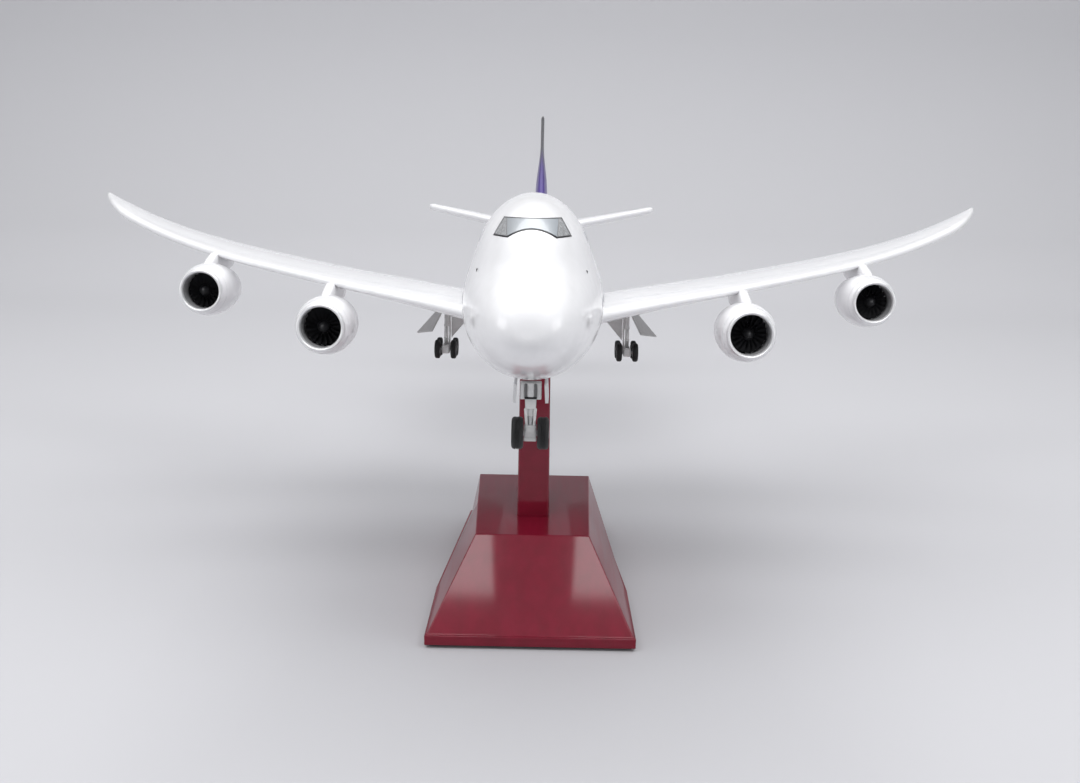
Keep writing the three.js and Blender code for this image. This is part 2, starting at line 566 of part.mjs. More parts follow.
// Each main leg is drawn about its bogie's middle, with its peg reaching up into the airframe.
for (const gear of MAIN_GEARS) {
  for (const { name, sign } of SIDES) {
    const top = legTop(gear, sign);
    const drop = top.z - zOf(gear.axle);
    const leg = new THREE.Group();
    leg.position.set(top.x, top.y, zOf(gear.axle));
    aircraft.add(leg);
    const shoulder = drop - gear.skin;
    const half = MAIN_WHEEL.wheelbase / 2;
    const link = [[1, 1], [LEG.linkReach, shoulder * 0.28], [1, shoulder * 0.55]];
    const pieces = [
      upright(0, shoulder, LEG.piston, 12),
      upright(shoulder * LEG.cylinderShare, shoulder, LEG.cylinder, 12),
      upright(shoulder - 1, drop + PEG.length, PEG.radius),
      box(BOGIE.width, MAIN_WHEEL.wheelbase + 2 * BOGIE.overhang, BOGIE.height),
      plate(link, LEG.linkThickness),
    ];
    const across = BOGIE.width;
    const bores = [-half, half].map((y) => (
      rod(new Vector3(-across, y, 0), new Vector3(across, y, 0), MAIN_WHEEL.bore, 12)
    ));
    addPiece(leg, `${gear.name}_gear_leg_${name}`, cut(join(...pieces), ...bores), SILVER);
    for (const [row, y] of [['front', -half], ['rear', half]]) {
      const wheels = addPiece(leg, `${gear.name}_wheels_${name}_${row}`, wheelsetForm(), TYRE);
      wheels.position.y = y;
    }
  }
}

// A flat door hung from its top edge. The edges are [x, z] pairs.
function doorPanel({ top, foot, front, back, thickness }) {
  const [dx, dz] = [foot[0] - top[0], foot[1] - top[1]];
  const panel = new THREE.BoxGeometry(thickness, back - front, Math.hypot(dx, dz));
  panel.rotateY(Math.atan2(dx, dz));
  return solid(panel.translate((top[0] + foot[0]) / 2, (front + back) / 2, (top[1] + foot[1]) / 2));
}

const DOORS = {
  wing_gear_door: { top: [40.3, 9], foot: [50.4, -3.8], front: 16, back: 38, thickness: 0.8 },
  body_gear_door: { top: [17.4, 0.3], foot: [19.2, -8], front: 40, back: 60, thickness: 0.8 },
  nose_gear_door: { top: [3.9, 3.4], foot: [4.2, -1.4], front: -161, back: -148, thickness: 0.9 },
};

// The three-cornered panel that closes the space behind a wing leg, across the aircraft.
const STAY = { corners: [[36.4, -6.3], [36.4, 12.5], [21, 12.5]], behindLeg: 2.4, thickness: 0.8 };

function stayPanel() {
  const shape = new THREE.Shape(STAY.corners.map(([x, z]) => new Vector2(x, z)));
  const panel = new THREE.ExtrudeGeometry(shape, { depth: STAY.thickness, bevelEnabled: false });
  const back = yOf(MAIN_GEARS[0].station) + STAY.behindLeg + STAY.thickness;
  return panel.rotateX(Math.PI / 2).translate(0, back, 0);
}

for (const { name, sign } of SIDES) {
  for (const [kind, door] of Object.entries(DOORS)) {
    const panel = mirrored(doorPanel(door), sign);
    addPiece(aircraft, `${kind}_${name}`, cut(panel, hullClear, mirrored(wingClear, sign)), GREY);
  }
  const web = cut(mirrored(solid(stayPanel()), sign), hullClear, mirrored(wingClear, sign), fairing);
  addPiece(aircraft, `inboard_gear_door_${name}`, web, GREY);
}

// Nose leg with its fork block, drag braces and fixed axle, drawn about the axle.
const noseLeg = new THREE.Group();
noseLeg.position.set(0, yOf(NOSE_GEAR.station), zOf(NOSE_GEAR.axle));
aircraft.add(noseLeg);
const legHeight = -noseLeg.position.z;
const NOSE_LEG = {
  block: [3.1, 3.2, 4.1], blockLift: 0.15, yoke: [2.7, 2.6, 2.6], yokeDrop: 2.2, housing: [5.4, 4.4, 4.1],
  housingLift: 1.15, piston: 1.1, peg: 1.3, pegLength: 4.5,
  braceRadius: 0.45, braceFoot: [0.75, 2], braceHead: [1.2, 2], braceBack: -0.7, axleGap: 0.2,
};
const AXLE_HEAD = { inner: 4.35, outer: 4.8, radius: 1.4 };
const acrossRod = (x0, x1, radius) => rod(new Vector3(x0, 0, 0), new Vector3(x1, 0, 0), radius, 12);
const brace = (side) => rod(
  new Vector3(side * NOSE_LEG.braceFoot[0], NOSE_LEG.braceBack, NOSE_LEG.braceFoot[1]),
  new Vector3(side * NOSE_LEG.braceHead[0], NOSE_LEG.braceBack, legHeight - NOSE_LEG.braceHead[1]),
  NOSE_LEG.braceRadius,
  8,
);
const noseLegForm = join(
  box(...NOSE_LEG.block, 0, 0, NOSE_LEG.blockLift),
  upright(0, legHeight - 0.5, NOSE_LEG.piston, 12),
  upright(legHeight - 1, legHeight + NOSE_LEG.pegLength, NOSE_LEG.peg, 12),
  box(...NOSE_LEG.yoke, 0, 0, legHeight - NOSE_LEG.yokeDrop),
  box(...NOSE_LEG.housing, 0, 0, legHeight + NOSE_LEG.housingLift),
  brace(1),
  brace(-1),
);
const noseAxleHole = acrossRod(-NOSE_LEG.block[0], NOSE_LEG.block[0], NOSE_WHEEL.axle + NOSE_LEG.axleGap);
addPiece(noseLeg, 'nose_gear_leg', cut(noseLegForm, noseAxleHole), SILVER);
const axleHead = (side) => acrossRod(side * AXLE_HEAD.inner, side * AXLE_HEAD.outer, AXLE_HEAD.radius);
const axleBar = acrossRod(-AXLE_HEAD.outer + 0.2, AXLE_HEAD.outer - 0.2, NOSE_WHEEL.axle);
addPiece(noseLeg, 'nose_axle', join(axleBar, axleHead(1), axleHead(-1)), STEEL);
for (const { name, sign } of SIDES) addPiece(noseLeg, `nose_wheel_${name}`, noseWheelForm(sign), TYRE);

// ---------------------------------------------------------------- stand
const stand = new THREE.Group();
const mirrorPlan = (half, z) => (
  [...half, ...half.slice().reverse().map(([x, y]) => [-x, y])].map(([x, y]) => new Vector3(x, y, z))
);

// Plan outline of the base: square-shouldered in front, then drawn in towards the back.
function basePlan(inset, z) {
  const { front, back, kink, halfFront, halfKink, halfBack } = BASE;
  const half = [
    [halfFront - inset, front + inset], [halfKink - inset, kink], [halfBack - inset, back - inset],
  ];
  return mirrorPlan(half, z);
}

function baseTop(z) {
  const { topFront, topBack, topHalfFront, topHalfBack } = BASE;
  const middle = [(topHalfFront + topHalfBack) / 2, (topFront + topBack) / 2];
  return mirrorPlan([[topHalfFront, topFront], middle, [topHalfBack, topBack]], z);
}

const screwTop = BASE.top + SCREW.reach;
const screwHole = join(
  upright(0, screwTop + 1, SCREW.shank + GAP, 12),
  upright(0, SCREW.headLevel + SCREW.headHeight + GAP, SCREW.head + GAP, 16),
);
const FELT_GLUE = 0.05;
const OVERLAP = 0.5;                 // how far the slopes reach down into the plinth that they are joined to
const plinth = loft([basePlan(0, BASE.felt + FELT_GLUE), basePlan(0, BASE.plinth)]);
const slopes = loft([
  basePlan(BASE.ledge, BASE.plinth - OVERLAP), basePlan(BASE.ledge, BASE.plinth), baseTop(BASE.top),
]);
addPiece(stand, 'stand_base', cut(join(plinth, slopes), screwHole), RED_WOOD);
addPiece(stand, 'base_felt', loft([basePlan(FELT_INSET, 0), basePlan(FELT_INSET, BASE.felt)]), FELT);

// A ring of the post's rounded section.
function postRing(width, depth, z) {
  const [w, d, c] = [width / 2 - POST.corner, depth / 2 - POST.corner, POST.corner];
  const corners = [[w, -d, -0.5], [w, d, 0], [-w, d, 0.5], [-w, -d, 1]];
  return corners.flatMap(([x, y, start]) => [0, 0.25, 0.5].map((turn) => {
    const angle = Math.PI * (start + turn);
    return new Vector3(x + c * Math.cos(angle), y + c * Math.sin(angle), z);
  }));
}

// The post's head is cut to the belly's slope, and drilled along it for the pin.
const tilted = (shape) => shape.rotate([THREE.MathUtils.radToDeg(-NOSE_UP), 0, 0]).translate([0, 0, SEAT.z]);
const postBlank = loft([
  postRing(POST.footWidth, POST.footDepth, BASE.top + 0.1),
  postRing(POST.headWidth, POST.headDepth, SEAT.z + 4),
]);
const CAP = [60, 80, 40];            // a block larger than the post's head
const aboveBelly = tilted(box(...CAP, 0, 0, zOf(FAIRING.bottom) - GAP + CAP[2] / 2));
addPiece(stand, 'stand_post', cut(postBlank, aboveBelly, tilted(pinHole), screwHole), RED_WOOD);
const screwHead = upright(SCREW.headLevel, SCREW.headLevel + SCREW.headHeight, SCREW.head, 16);
addPiece(stand, 'post_screw', join(upright(SCREW.headLevel, screwTop, SCREW.shank, 12), screwHead), STEEL);
addPiece(stand, 'mount_pin', tilted(upright(GAP - PIN.below, PIN.above, PIN.radius, PIN_SIDES)), STEEL);

export default new THREE.Group().add(stand, aircraft);
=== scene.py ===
"""Looks of the desktop airliner model and its lacquered stand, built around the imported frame.

Pieces are drawn in millimetres of model, and the aircraft's forms in metres of the full-size aircraft:
stations run aft from the nose and heights run up from its wheels' ground. Port is +X and the nose points to -Y.
"""
import json
from math import atan2, ceil, copysign, cos, dist, exp, hypot, pi, radians, sin, sqrt, tan
from types import SimpleNamespace as Sizes

import bmesh
import bpy
from mathutils import Matrix, Vector


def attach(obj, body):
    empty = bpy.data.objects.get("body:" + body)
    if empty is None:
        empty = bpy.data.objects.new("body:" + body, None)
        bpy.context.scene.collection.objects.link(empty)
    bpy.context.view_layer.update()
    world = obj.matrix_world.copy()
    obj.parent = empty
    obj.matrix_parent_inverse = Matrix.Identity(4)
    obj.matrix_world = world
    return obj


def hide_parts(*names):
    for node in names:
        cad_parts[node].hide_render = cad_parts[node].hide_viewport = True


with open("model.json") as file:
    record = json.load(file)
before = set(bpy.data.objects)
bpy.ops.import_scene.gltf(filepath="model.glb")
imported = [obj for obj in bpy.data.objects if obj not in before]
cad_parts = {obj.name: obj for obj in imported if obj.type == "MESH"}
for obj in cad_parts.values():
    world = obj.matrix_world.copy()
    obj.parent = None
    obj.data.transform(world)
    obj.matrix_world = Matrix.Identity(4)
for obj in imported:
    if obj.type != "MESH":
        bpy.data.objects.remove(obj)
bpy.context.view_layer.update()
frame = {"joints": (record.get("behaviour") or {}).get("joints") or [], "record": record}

record = frame["record"]
JOINT_AT = {joint["name"]: Vector(joint.get("pos_m") or (0, 0, 0)) for joint in frame["joints"]}
BODY_OF = {node: body for body, nodes in record["behaviour"]["bodies"].items() for node in nodes}
scene = bpy.context.scene

# ---------------- driving dimensions
MILLIMETRE = 0.001
SCALE = 1000 / 150                   # millimetres of model for each metre of aircraft
NOSE_UP = radians(7)
SEAT = Sizes(station=31, height=2.2, z=104.8)
HULL = Sizes(length=74.2, half_width=3.1, keel=2.15, crown=8.65, tip_height=5.2)
NOSE = Sizes(start=0.004, set_back=0.0018, length=18, fullness=1.6, bluntness=0.33, keel_bluntness=0.445)
TAIL = Sizes(start=48, keel_rise=5.2, keel_power=1.7, crown_drop=0.5, end_half_width=0.5, side_power=1.9)
DECK = Sizes(
    start=1.8, nose_length=8.2, rise_power=2.2, nose_base=7.0, crown=9.78, crown_power=0.75,
    half_width=2.15, side_power=0.6, fade_start=25, fade_end=37, fade_drop=2.4, fade_narrow=0.3,
    centre_share=0.37,
)
LOBE_BLEND = 9                       # how sharply the hull's two lobes meet
WING = Sizes(
    root=2.3, inboard=2.7, tip=33, root_height=3.75, root_droop=0.2, root_fade=4.5,
    dihedral=0.1215, tip_bend=2.51, bend_power=5, root_incidence=0.5, tip_incidence=-6,
    pivot=0.5, thickness=0.64, root_thickening=0.7, tip_thinning=0.3,
)
WING_EDGE = Sizes(
    lead_root=21.75, sweep=0.9, trail_root=38.7, kink=11.7, trail_kink=39.9, trail_sweep=0.546,
    rake=30, rake_lead=1.05, rake_curl=0.21, rake_trail=0.62,
)
TAILPLANE = Sizes(
    root=0.5, tip=10.5, inboard=0.95, height=7.95, rise=0.2, lead=61.59, sweep=0.85,
    trail=71.17, trail_sweep=0.14, thickness=0.95, tip_thickness=0.55,
)
FIN = Sizes(
    foot=8.1, top=18.6, lead=59.2, sweep=1.14, trail=72.4, trail_sweep=0.33, fillet=5.5,
    fillet_rise=3.4, fillet_power=2.2, thickness=0.98, tip_thickness=0.24, thin_from=3.3, thin_over=4.2,
)
FAIRING = Sizes(front=20.5, back=43, half_width=3.42, bottom=1.98, shoulder=3.5)
EDGE_HALF = 0.035                    # half thickness of a trailing edge
FAN = Sizes(face=7.6, hub=2.2, tip=7.1, blades=18)   # `face` is how far the fan is behind the inlet's lip
SIDES = (("port", 1), ("starboard", -1))


# ---------------- shader nodes
def preset(node, **inputs):
    """Sets a node's inputs. Their names are written with underscores for spaces."""
    for name, value in inputs.items():
        node.inputs[name.replace("_", " ")].default_value = value
    return node


def add_node(material, kind, **inputs):
    return preset(material.node_tree.nodes.new(f"ShaderNode{kind}"), **inputs)


def link(source, output, target, socket):
    source.id_data.links.new(source.outputs[output], target.inputs[socket])


def new_material(name):
    """A new material and its principled shader."""
    material = bpy.data.materials.new(name)
    material.use_nodes = True
    return material, material.node_tree.nodes["Principled BSDF"]


def tune(material, **inputs):
    preset(material.node_tree.nodes["Principled BSDF"], **inputs)
    return material


# ---------------- camera, stage and lights
CAMERA = Sizes(place=(0.003, -0.417, 0.199), turns=(0.15, 15.8, -1.0), lens=36.17, sensor=36)
LIGHTS = [                           # name, place, target, size in metres, and watts
    ("key_softbox", (0, -0.41, 0.9), (0, -0.41, 0), (1.2, 0.3), 7.4),
    ("overhead_softbox", (0, 0.4, 0.95), (0, 0.4, 0), (1.6, 0.9), 10),
    ("left_fill", (-1.3, -0.5, 0.35), (0, 0, 0.12), (0.9, 0.6), 3.2),
    ("right_fill", (1.3, -0.5, 0.35), (0, 0, 0.12), (0.9, 0.6), 3.2),
]


def make_camera():
    """The camera stands in front of the nose and a little above it, looking down at the stand."""
    data = bpy.data.cameras.new("camera")
    data.sensor_width, data.lens = CAMERA.sensor, CAMERA.lens
    camera = bpy.data.objects.new("camera", data)
    yaw, pitch, roll = (radians(angle) for angle in CAMERA.turns)
    turn = Matrix.Rotation(yaw, 3, "Z") @ Matrix.Rotation(-pitch, 3, "X") @ Matrix.Rotation(roll, 3, "Y")
    axes = Matrix([turn @ Vector(axis) for axis in ((1, 0, 0), (0, 0, 1), (0, -1, 0))]).transposed()
    camera.matrix_world = Matrix.Translation(CAMERA.place) @ axes.to_4x4()
    scene.collection.objects.link(camera)
    scene.camera = camera


def make_stage():
    """A seamless sheet: the floor, a round bend, and the wall behind."""
    half_width, front, bend_start, bend_radius, top, drop = 3.0, -2.2, 0.56, 0.28, 2.4, 0.0002
    profile = [(front, 0.0), (bend_start, 0.0)]
    for step in range(1, 17):
        angle = step / 16 * pi / 2
        profile.append((bend_start + bend_radius * sin(angle), bend_radius * (1 - cos(angle))))
    profile.append((bend_start + bend_radius, top))
    points = [(x, y, z - drop) for y, z in profile for x in (-half_width, half_width)]
    faces = [(2 * k, 2 * k + 1, 2 * k + 3, 2 * k + 2) for k in range(len(profile) - 1)]
    mesh = bpy.data.meshes.new("backdrop")
    mesh.from_pydata(points, [], faces)
    mesh.polygons.foreach_set("use_smooth", [True] * len(faces))
    mesh.materials.append(backdrop_paper_painted_shade())
    backdrop = bpy.data.objects.new("backdrop", mesh)
    scene.collection.objects.link(backdrop)


def backdrop_paper_painted_shade():
    """Pale grey paper with painted shade: it darkens a little where the sheet turns up into the wall and much
    more high on the wall, and it is clear from behind.
    """
    material, shader = new_material("backdrop_paper_painted_shade")
    preset(shader, Roughness=0.9, Specular_IOR_Level=0.1)
    place, split = add_node(material, "TexCoord"), add_node(material, "SeparateXYZ")
    ramp = add_node(material, "ValToRGB")
    link(place, "Object", split, "Vector")
    link(split, "Z", ramp, "Fac")
    link(ramp, "Color", shader, "Base Color")
    # Painted shade: grey 0.5 on the floor, 0.46 from 5 cm up, falling to 0.12 from 40 cm up the wall, where less
    # light falls.
    for position, shade in ((0.0, 0.5), (0.05, 0.46), (0.3, 0.46), (0.4, 0.12)):
        element = ramp.color_ramp.elements[0] if position == 0 else ramp.color_ramp.elements.new(position)
        element.color = (shade, shade, shade * 1.04, 1)
    ramp.color_ramp.elements.remove(ramp.color_ramp.elements[-1])
    mix = add_node(material, "MixShader")
    link(add_node(material, "NewGeometry"), "Backfacing", mix, "Fac")
    link(shader, "BSDF", mix, 1)
    link(add_node(material, "BsdfTransparent"), "BSDF", mix, 2)
    link(mix, "Shader", material.node_tree.nodes["Material Output"], "Surface")
    return material


def area_light(name, location, target, size, power):
    data = bpy.data.lights.new(name, "AREA")
    data.shape = "RECTANGLE"
    data.size, data.size_y = size
    data.energy = power
    light = bpy.data.objects.new(name, data)
    light.location = location
    light.rotation_euler = (Vector(target) - Vector(location)).to_track_quat("-Z", "Y").to_euler()
    scene.collection.objects.link(light)


def make_lights():
    for light in LIGHTS:
        area_light(*light)
    world = bpy.data.worlds.new("studio")
    world.use_nodes = True
    preset(world.node_tree.nodes["Background"], Color=(0.86, 0.87, 0.9, 1), Strength=0.47)
    scene.world = world
    scene.view_settings.view_transform = "Standard"


# ---------------- finishes
def finish(name, colour, roughness, metallic=0.0, coat=0.0, vary=0.03, grain=250.0, bump=0.0,
           bump_grain=2500.0, stretch=(1, 1, 1), second=None):
    """A principled finish. Its colour runs between `colour` and `second` and its roughness varies, both with
    a noise of `grain` cycles a metre, and `bump` is the height in metres of a finer noise on its surface."""
    material, shader = new_material(name)
    preset(shader, Metallic=metallic, Coat_Weight=coat, Coat_Roughness=0.06)
    mapping = add_node(material, "Mapping", Scale=stretch)
    noise = add_node(material, "TexNoise", Scale=grain, Detail=4)
    link(add_node(material, "TexCoord"), "Object", mapping, "Vector")
    link(mapping, "Vector", noise, "Vector")
    ramp = add_node(material, "ValToRGB")
    second = second or tuple(channel * (1 - vary) for channel in colour)
    ramp.color_ramp.elements[0].position = 0.35
    ramp.color_ramp.elements[0].color = (*second, 1)
    ramp.color_ramp.elements[1].position = 0.65
    ramp.color_ramp.elements[1].color = (*colour, 1)
    link(noise, "Fac", ramp, "Fac")
    link(ramp, "Color", shader, "Base Color")
    rough = add_node(material, "MapRange", To_Min=roughness * 0.85, To_Max=roughness * 1.15)
    link(noise, "Fac", rough, "Value")
    link(rough, "Result", shader, "Roughness")
    if bump:
        fine = add_node(material, "TexNoise", Scale=bump_grain, Detail=2)
        relief = add_node(material, "Bump", Strength=1.0, Distance=bump)
        link(mapping, "Vector", fine, "Vector")
        link(fine, "Fac", relief, "Height")
        link(relief, "Normal", shader, "Normal")
    return material


def along_axis(material, axis, stops):
    """Replaces a finish's colour with stops of (metres along a world axis, colour), for the part at rest."""
    first, last = stops[0][0], stops[-1][0]
    split, ramp = add_node(material, "SeparateXYZ"), add_node(material, "ValToRGB")
    span = add_node(material, "MapRange", From_Min=first, From_Max=last)
    elements = ramp.color_ramp.elements
    while len(elements) < len(stops):
        elements.new(0.5)
    for element, (where, colour) in zip(elements, stops):
        element.position = (where - first) / (last - first)
        element.color = (*colour, 1)
    link(add_node(material, "TexCoord"), "Object", split, "Vector")
    link(split, axis, span, "Value")
    link(span, "Result", ramp, "Fac")
    link(ramp, "Color", material.node_tree.nodes["Principled BSDF"], "Base Color")
    return material


WHITE = finish(
    "white_gloss_paint", (0.86, 0.86, 0.875), 0.24, coat=0.6, vary=0.02, bump=0.000004, bump_grain=900,
)
VIOLET = tune(along_axis(
    finish("violet_gloss_paint", (0.085, 0.05, 0.27), 0.32, coat=0.15, vary=0.12, bump=0.000004, bump_grain=900),
    "Z", [(0.14, (0.075, 0.05, 0.22)), (0.152, (0.07, 0.05, 0.18)), (0.162, (0.07, 0.07, 0.08)),
          (0.18, (0.05, 0.05, 0.055))],
), Specular_IOR_Level=0.25)
PRINT_GREY = finish("pale_grey_print", (0.5, 0.51, 0.54), 0.35, vary=0.08)
PRINT_DARK = finish("black_print", (0.012, 0.012, 0.014), 0.3, vary=0.2)
# Silver printed front panes, with a painted highlight: lighter across the middle and darker towards the outer
# corners.
PANE_FRONT_PAINTED_HIGHLIGHT = along_axis(
    finish("silver_pane_print_painted_highlight", (0.3, 0.33, 0.34), 0.25, metallic=0.1, coat=0.6),
    "X", [(-0.0062, (0.36, 0.38, 0.4)), (-0.001, (0.44, 0.47, 0.5)), (0.001, (0.48, 0.51, 0.54)),
          (0.0062, (0.36, 0.39, 0.42))],
)
PANE_SIDE = finish("smoked_pane_print", (0.42, 0.43, 0.44), 0.25, coat=0.5, vary=0.35, grain=1500)
PANE_FRAME = finish("pane_frame_print", (0.24, 0.24, 0.245), 0.3, vary=0.2)
LIP_METAL = finish(
    "satin_lip_metal", (0.84, 0.84, 0.85), 0.35, metallic=0.5, vary=0.04, bump=0.000003, bump_grain=1500,
)
# Painted shade: a mid grey for the inside of the inlets and of the tail's exhaust, darker than the white paint
# they join, for the shade that falls inside them.
DUCT_PAINTED_SHADE = finish("inlet_duct_painted_shade", (0.34, 0.34, 0.35), 0.4, vary=0.12)
FAN_BLACK = tune(finish("fan_black", (0.012, 0.012, 0.014), 0.4, vary=0.3), Specular_IOR_Level=0.4)
CORE_GREY = finish("core_metal_grey", (0.24, 0.235, 0.23), 0.38, metallic=0.7, vary=0.18, grain=400)
RUBBER = finish("tyre_rubber", (0.011, 0.011, 0.012), 0.62, vary=0.35, grain=900, bump=0.00002, bump_grain=6000)
HUB = finish("hub_silver", (0.42, 0.42, 0.43), 0.32, metallic=0.8, vary=0.12, grain=1200)
GEAR_SILVER = finish("gear_silver_paint", (0.8, 0.8, 0.79), 0.38, vary=0.08, grain=700, bump=0.000006)
# Dark grey for the probes, and painted shade on the nose gear's rear braces.
PROBE_GREY_AND_PAINTED_SHADE = finish("probe_grey_and_painted_shade", (0.2, 0.2, 0.2), 0.4, vary=0.1)
GEAR_CHROME = finish("gear_chrome", (0.78, 0.78, 0.78), 0.22, metallic=0.6, vary=0.04)
DOOR_OUTER = finish("door_outer_white", (0.72, 0.72, 0.73), 0.3, coat=0.4)
DOOR_INNER = finish("door_inner_grey", (0.5, 0.495, 0.49), 0.5, vary=0.12, grain=500, bump=0.00001)
STEEL = finish("bright_steel", (0.58, 0.58, 0.59), 0.28, metallic=1.0, vary=0.08, grain=900, stretch=(1, 1, 8))
LACQUER = tune(finish(
    "red_lacquered_wood", (0.19, 0.005, 0.021), 0.4, coat=0.62, grain=70, stretch=(3, 0.4, 3),
    second=(0.16, 0.004, 0.017), bump=0.000004, bump_grain=160,
), Specular_IOR_Level=0.1, Coat_Roughness=0.075)
FELT = tune(finish(
    "felt_black", (0.02, 0.02, 0.022), 0.95, vary=0.6, grain=3000, bump=0.00012, bump_grain=4200,
), Sheen_Weight=0.5)
WEB_GREY = finish("gear_web_grey", (0.76, 0.76, 0.75), 0.45, vary=0.08, grain=500, bump=0.00001)

# ---------------- shapes
AIRCRAFT = Matrix.Translation((0, 0, SEAT.z)) @ Matrix.Rotation(-NOSE_UP, 4, "X")
TO_AIRCRAFT = AIRCRAFT.inverted() @ Matrix.Scale(1 / MILLIMETRE, 4)
Y_TO_X = Matrix.Rotation(-pi / 2, 4, "Z")
Y_TO_Z = Matrix.Rotation(pi / 2, 4, "X")
FLIP_X = Matrix.Scale(-1, 4, (1, 0, 0))


def placed(point):
    return AIRCRAFT @ Matrix.Translation(point)


class Shape:
    """Points in millimetres, and faces over them, each with the number of its finish."""

    def __init__(self, points=(), faces=(), finish=0):
        self.points = [Vector(point) for point in points]
        self.faces = [list(face) for face in faces]
        self.finishes = [finish] * len(self.faces)

    def __add__(self, other):
        both = Shape(self.points + other.points, self.faces)
        both.faces += [[index + len(self.points) for index in face] for face in other.faces]
        both.finishes = self.finishes + other.finishes
        return both

    def moved(self, matrix):
        copy = Shape([matrix @ point for point in self.points], self.faces)
        copy.finishes = list(self.finishes)
        return copy

    def sided(self, sign):
        return self if sign > 0 else self.moved(FLIP_X)


def together(shapes):
    return sum(shapes, Shape())


def skin(rings, finish=0, loop=False):
    """A skin through rings of points. A ring of one point closes it. `loop` joins the last to the first."""
    starts = [sum(len(ring) for ring in rings[:k]) for k in range(len(rings))]
    faces = []
    for near in range(len(rings) if loop else len(rings) - 1):
        far = (near + 1) % len(rings)
        count, a, b = max(len(rings[near]), len(rings[far])), len(rings[near]), len(rings[far])
        for k in range(count):
            n = (k + 1) % count
            corners = (starts[near] + k % a, starts[near] + n % a, starts[far] + n % b, starts[far] + k % b)
            faces.append(list(dict.fromkeys(corners)))
    return Shape([point for ring in rings for point in ring], faces, finish)


def middle_of(ring):
    return sum(ring, Vector()) / len(ring)


def closed_skin(rings, finish=0):
    return skin([[middle_of(rings[0])], *rings, [middle_of(rings[-1])]], finish)


def round_angles(count):
    return [2 * pi * k / count for k in range(count)]


def round_y(shape, count):
    """Copies of a shape, evenly spaced round Y."""
    return together(shape.moved(Matrix.Rotation(angle, 4, "Y")) for angle in round_angles(count))


def turned(profile, sides=48, finish=0, loop=False, trim=None):
    """A form turned about Y from (radius, y) pairs. `trim(angle, y)` moves a point along Y."""
    rings = []
    for radius, y in profile:
        rings.append([
            Vector((radius * cos(a), trim(a, y) if trim else y, radius * sin(a)))
            for a in (round_angles(sides) if radius > 1e-4 else [0])
        ])
    return skin(rings, finish, loop)


def rod(start, end, radius, finish=0, sides=20, chamfer=0.12):
    """A round bar between two points, with its end edges eased."""
    start, end = Vector(start), Vector(end)
    length = (end - start).length
    ease = min(chamfer, radius * 0.4, length * 0.3)
    half = [(0, 0), (radius - ease, 0), (radius, ease)]
    profile = half + [(r, length - y) for r, y in reversed(half)]
    turn = Vector((0, 1, 0)).rotation_difference(end - start).to_matrix().to_4x4()
    return turned(profile, sides, finish).moved(Matrix.Translation(start) @ turn)


def rounded_rectangle(width, depth, corner, steps=4):
    """Points round a rectangle in the XY plane, with round corners."""
    points = []
    for quarter, (x, y) in enumerate(((1, 1), (-1, 1), (-1, -1), (1, -1))):
        for step in range(steps + 1):
            angle = (quarter + step / steps) * pi / 2
            points.append(Vector((
                x * (width / 2 - corner) + corner * cos(angle),
                y * (depth / 2 - corner) + corner * sin(angle), 0,
            )))
    return points


def block(size, centre=(0, 0, 0), corner=0.3, finish=0):
    """A block with all its edges rounded."""
    width, depth, height = size
    angles = [pi / 8 * k for k in range(5)]
    levels = [(corner * (1 - sin(a)), height / 2 - corner * (1 - cos(a))) for a in angles]
    outline = []
    for inset, z in [(i, -z) for i, z in levels] + list(reversed(levels)):
        flat = rounded_rectangle(width - 2 * inset, depth - 2 * inset, max(0.02, corner - inset))
        outline.append([point + Vector((0, 0, z)) for point in flat])
    return closed_skin(outline, finish).moved(Matrix.Translation(centre))


def flowing(points, steps=6):
    """A smooth line through pairs of numbers, by Catmull-Rom."""
    line = [points[0], *points, points[-1]]
    result = []
    for k in range(1, len(line) - 2):
        p0, p1, p2, p3 = (Vector(p) for p in line[k - 1:k + 3])
        for step in range(steps):
            t = step / steps
            result.append(0.5 * (2 * p1 + (p2 - p0) * t + (2 * p0 - 5 * p1 + 4 * p2 - p3) * t ** 2
                                 + (3 * p1 - p0 - 3 * p2 + p3) * t ** 3))
    return [*result, Vector(points[-1])]


def between(top, low, columns, rows, finishes):
    """A sheet between two grids of points, with closed edges, and a finish for each of its faces."""
    count, under = columns + 1, len(top)
    quads = [(r * count + k, r * count + k + 1, (r + 1) * count + k + 1, (r + 1) * count + k)
             for r in range(rows) for k in range(columns)]
    rim = ([k for k in range(columns)] + [r * count + columns for r in range(rows)]
           + [rows * count + k for k in range(columns, 0, -1)] + [r * count for r in range(rows, 0, -1)])
    edges = [(i, j, j + under, i + under) for i, j in zip(rim, rim[1:] + rim[:1])]
    lower = [[index + under for index in quad] for quad in quads]
    sheet = Shape(top + low, quads + lower + edges, finishes[0])
    sheet.finishes[len(quads):2 * len(quads)] = [finishes[1]] * len(quads)
    return sheet


def panel(corners, thickness, columns=10, rows=8, bulge=0.0, finishes=(0, 1)):
    """A curved panel over four corners, in order round it. The finishes are its outer and inner face's."""
    a, b, c, d = (Vector(corner) for corner in corners)
    normal = (b - a).cross(d - a).normalized()
    grid = []
    for row in range(rows + 1):
        v = row / rows
        for column in range(columns + 1):
            u = column / columns
            flat = a.lerp(b, u).lerp(d.lerp(c, u), v)
            grid.append(flat + normal * bulge * 4 * v * (1 - v))
    half = normal * thickness / 2
    return between([p + half for p in grid], [p - half for p in grid], columns, rows, finishes)


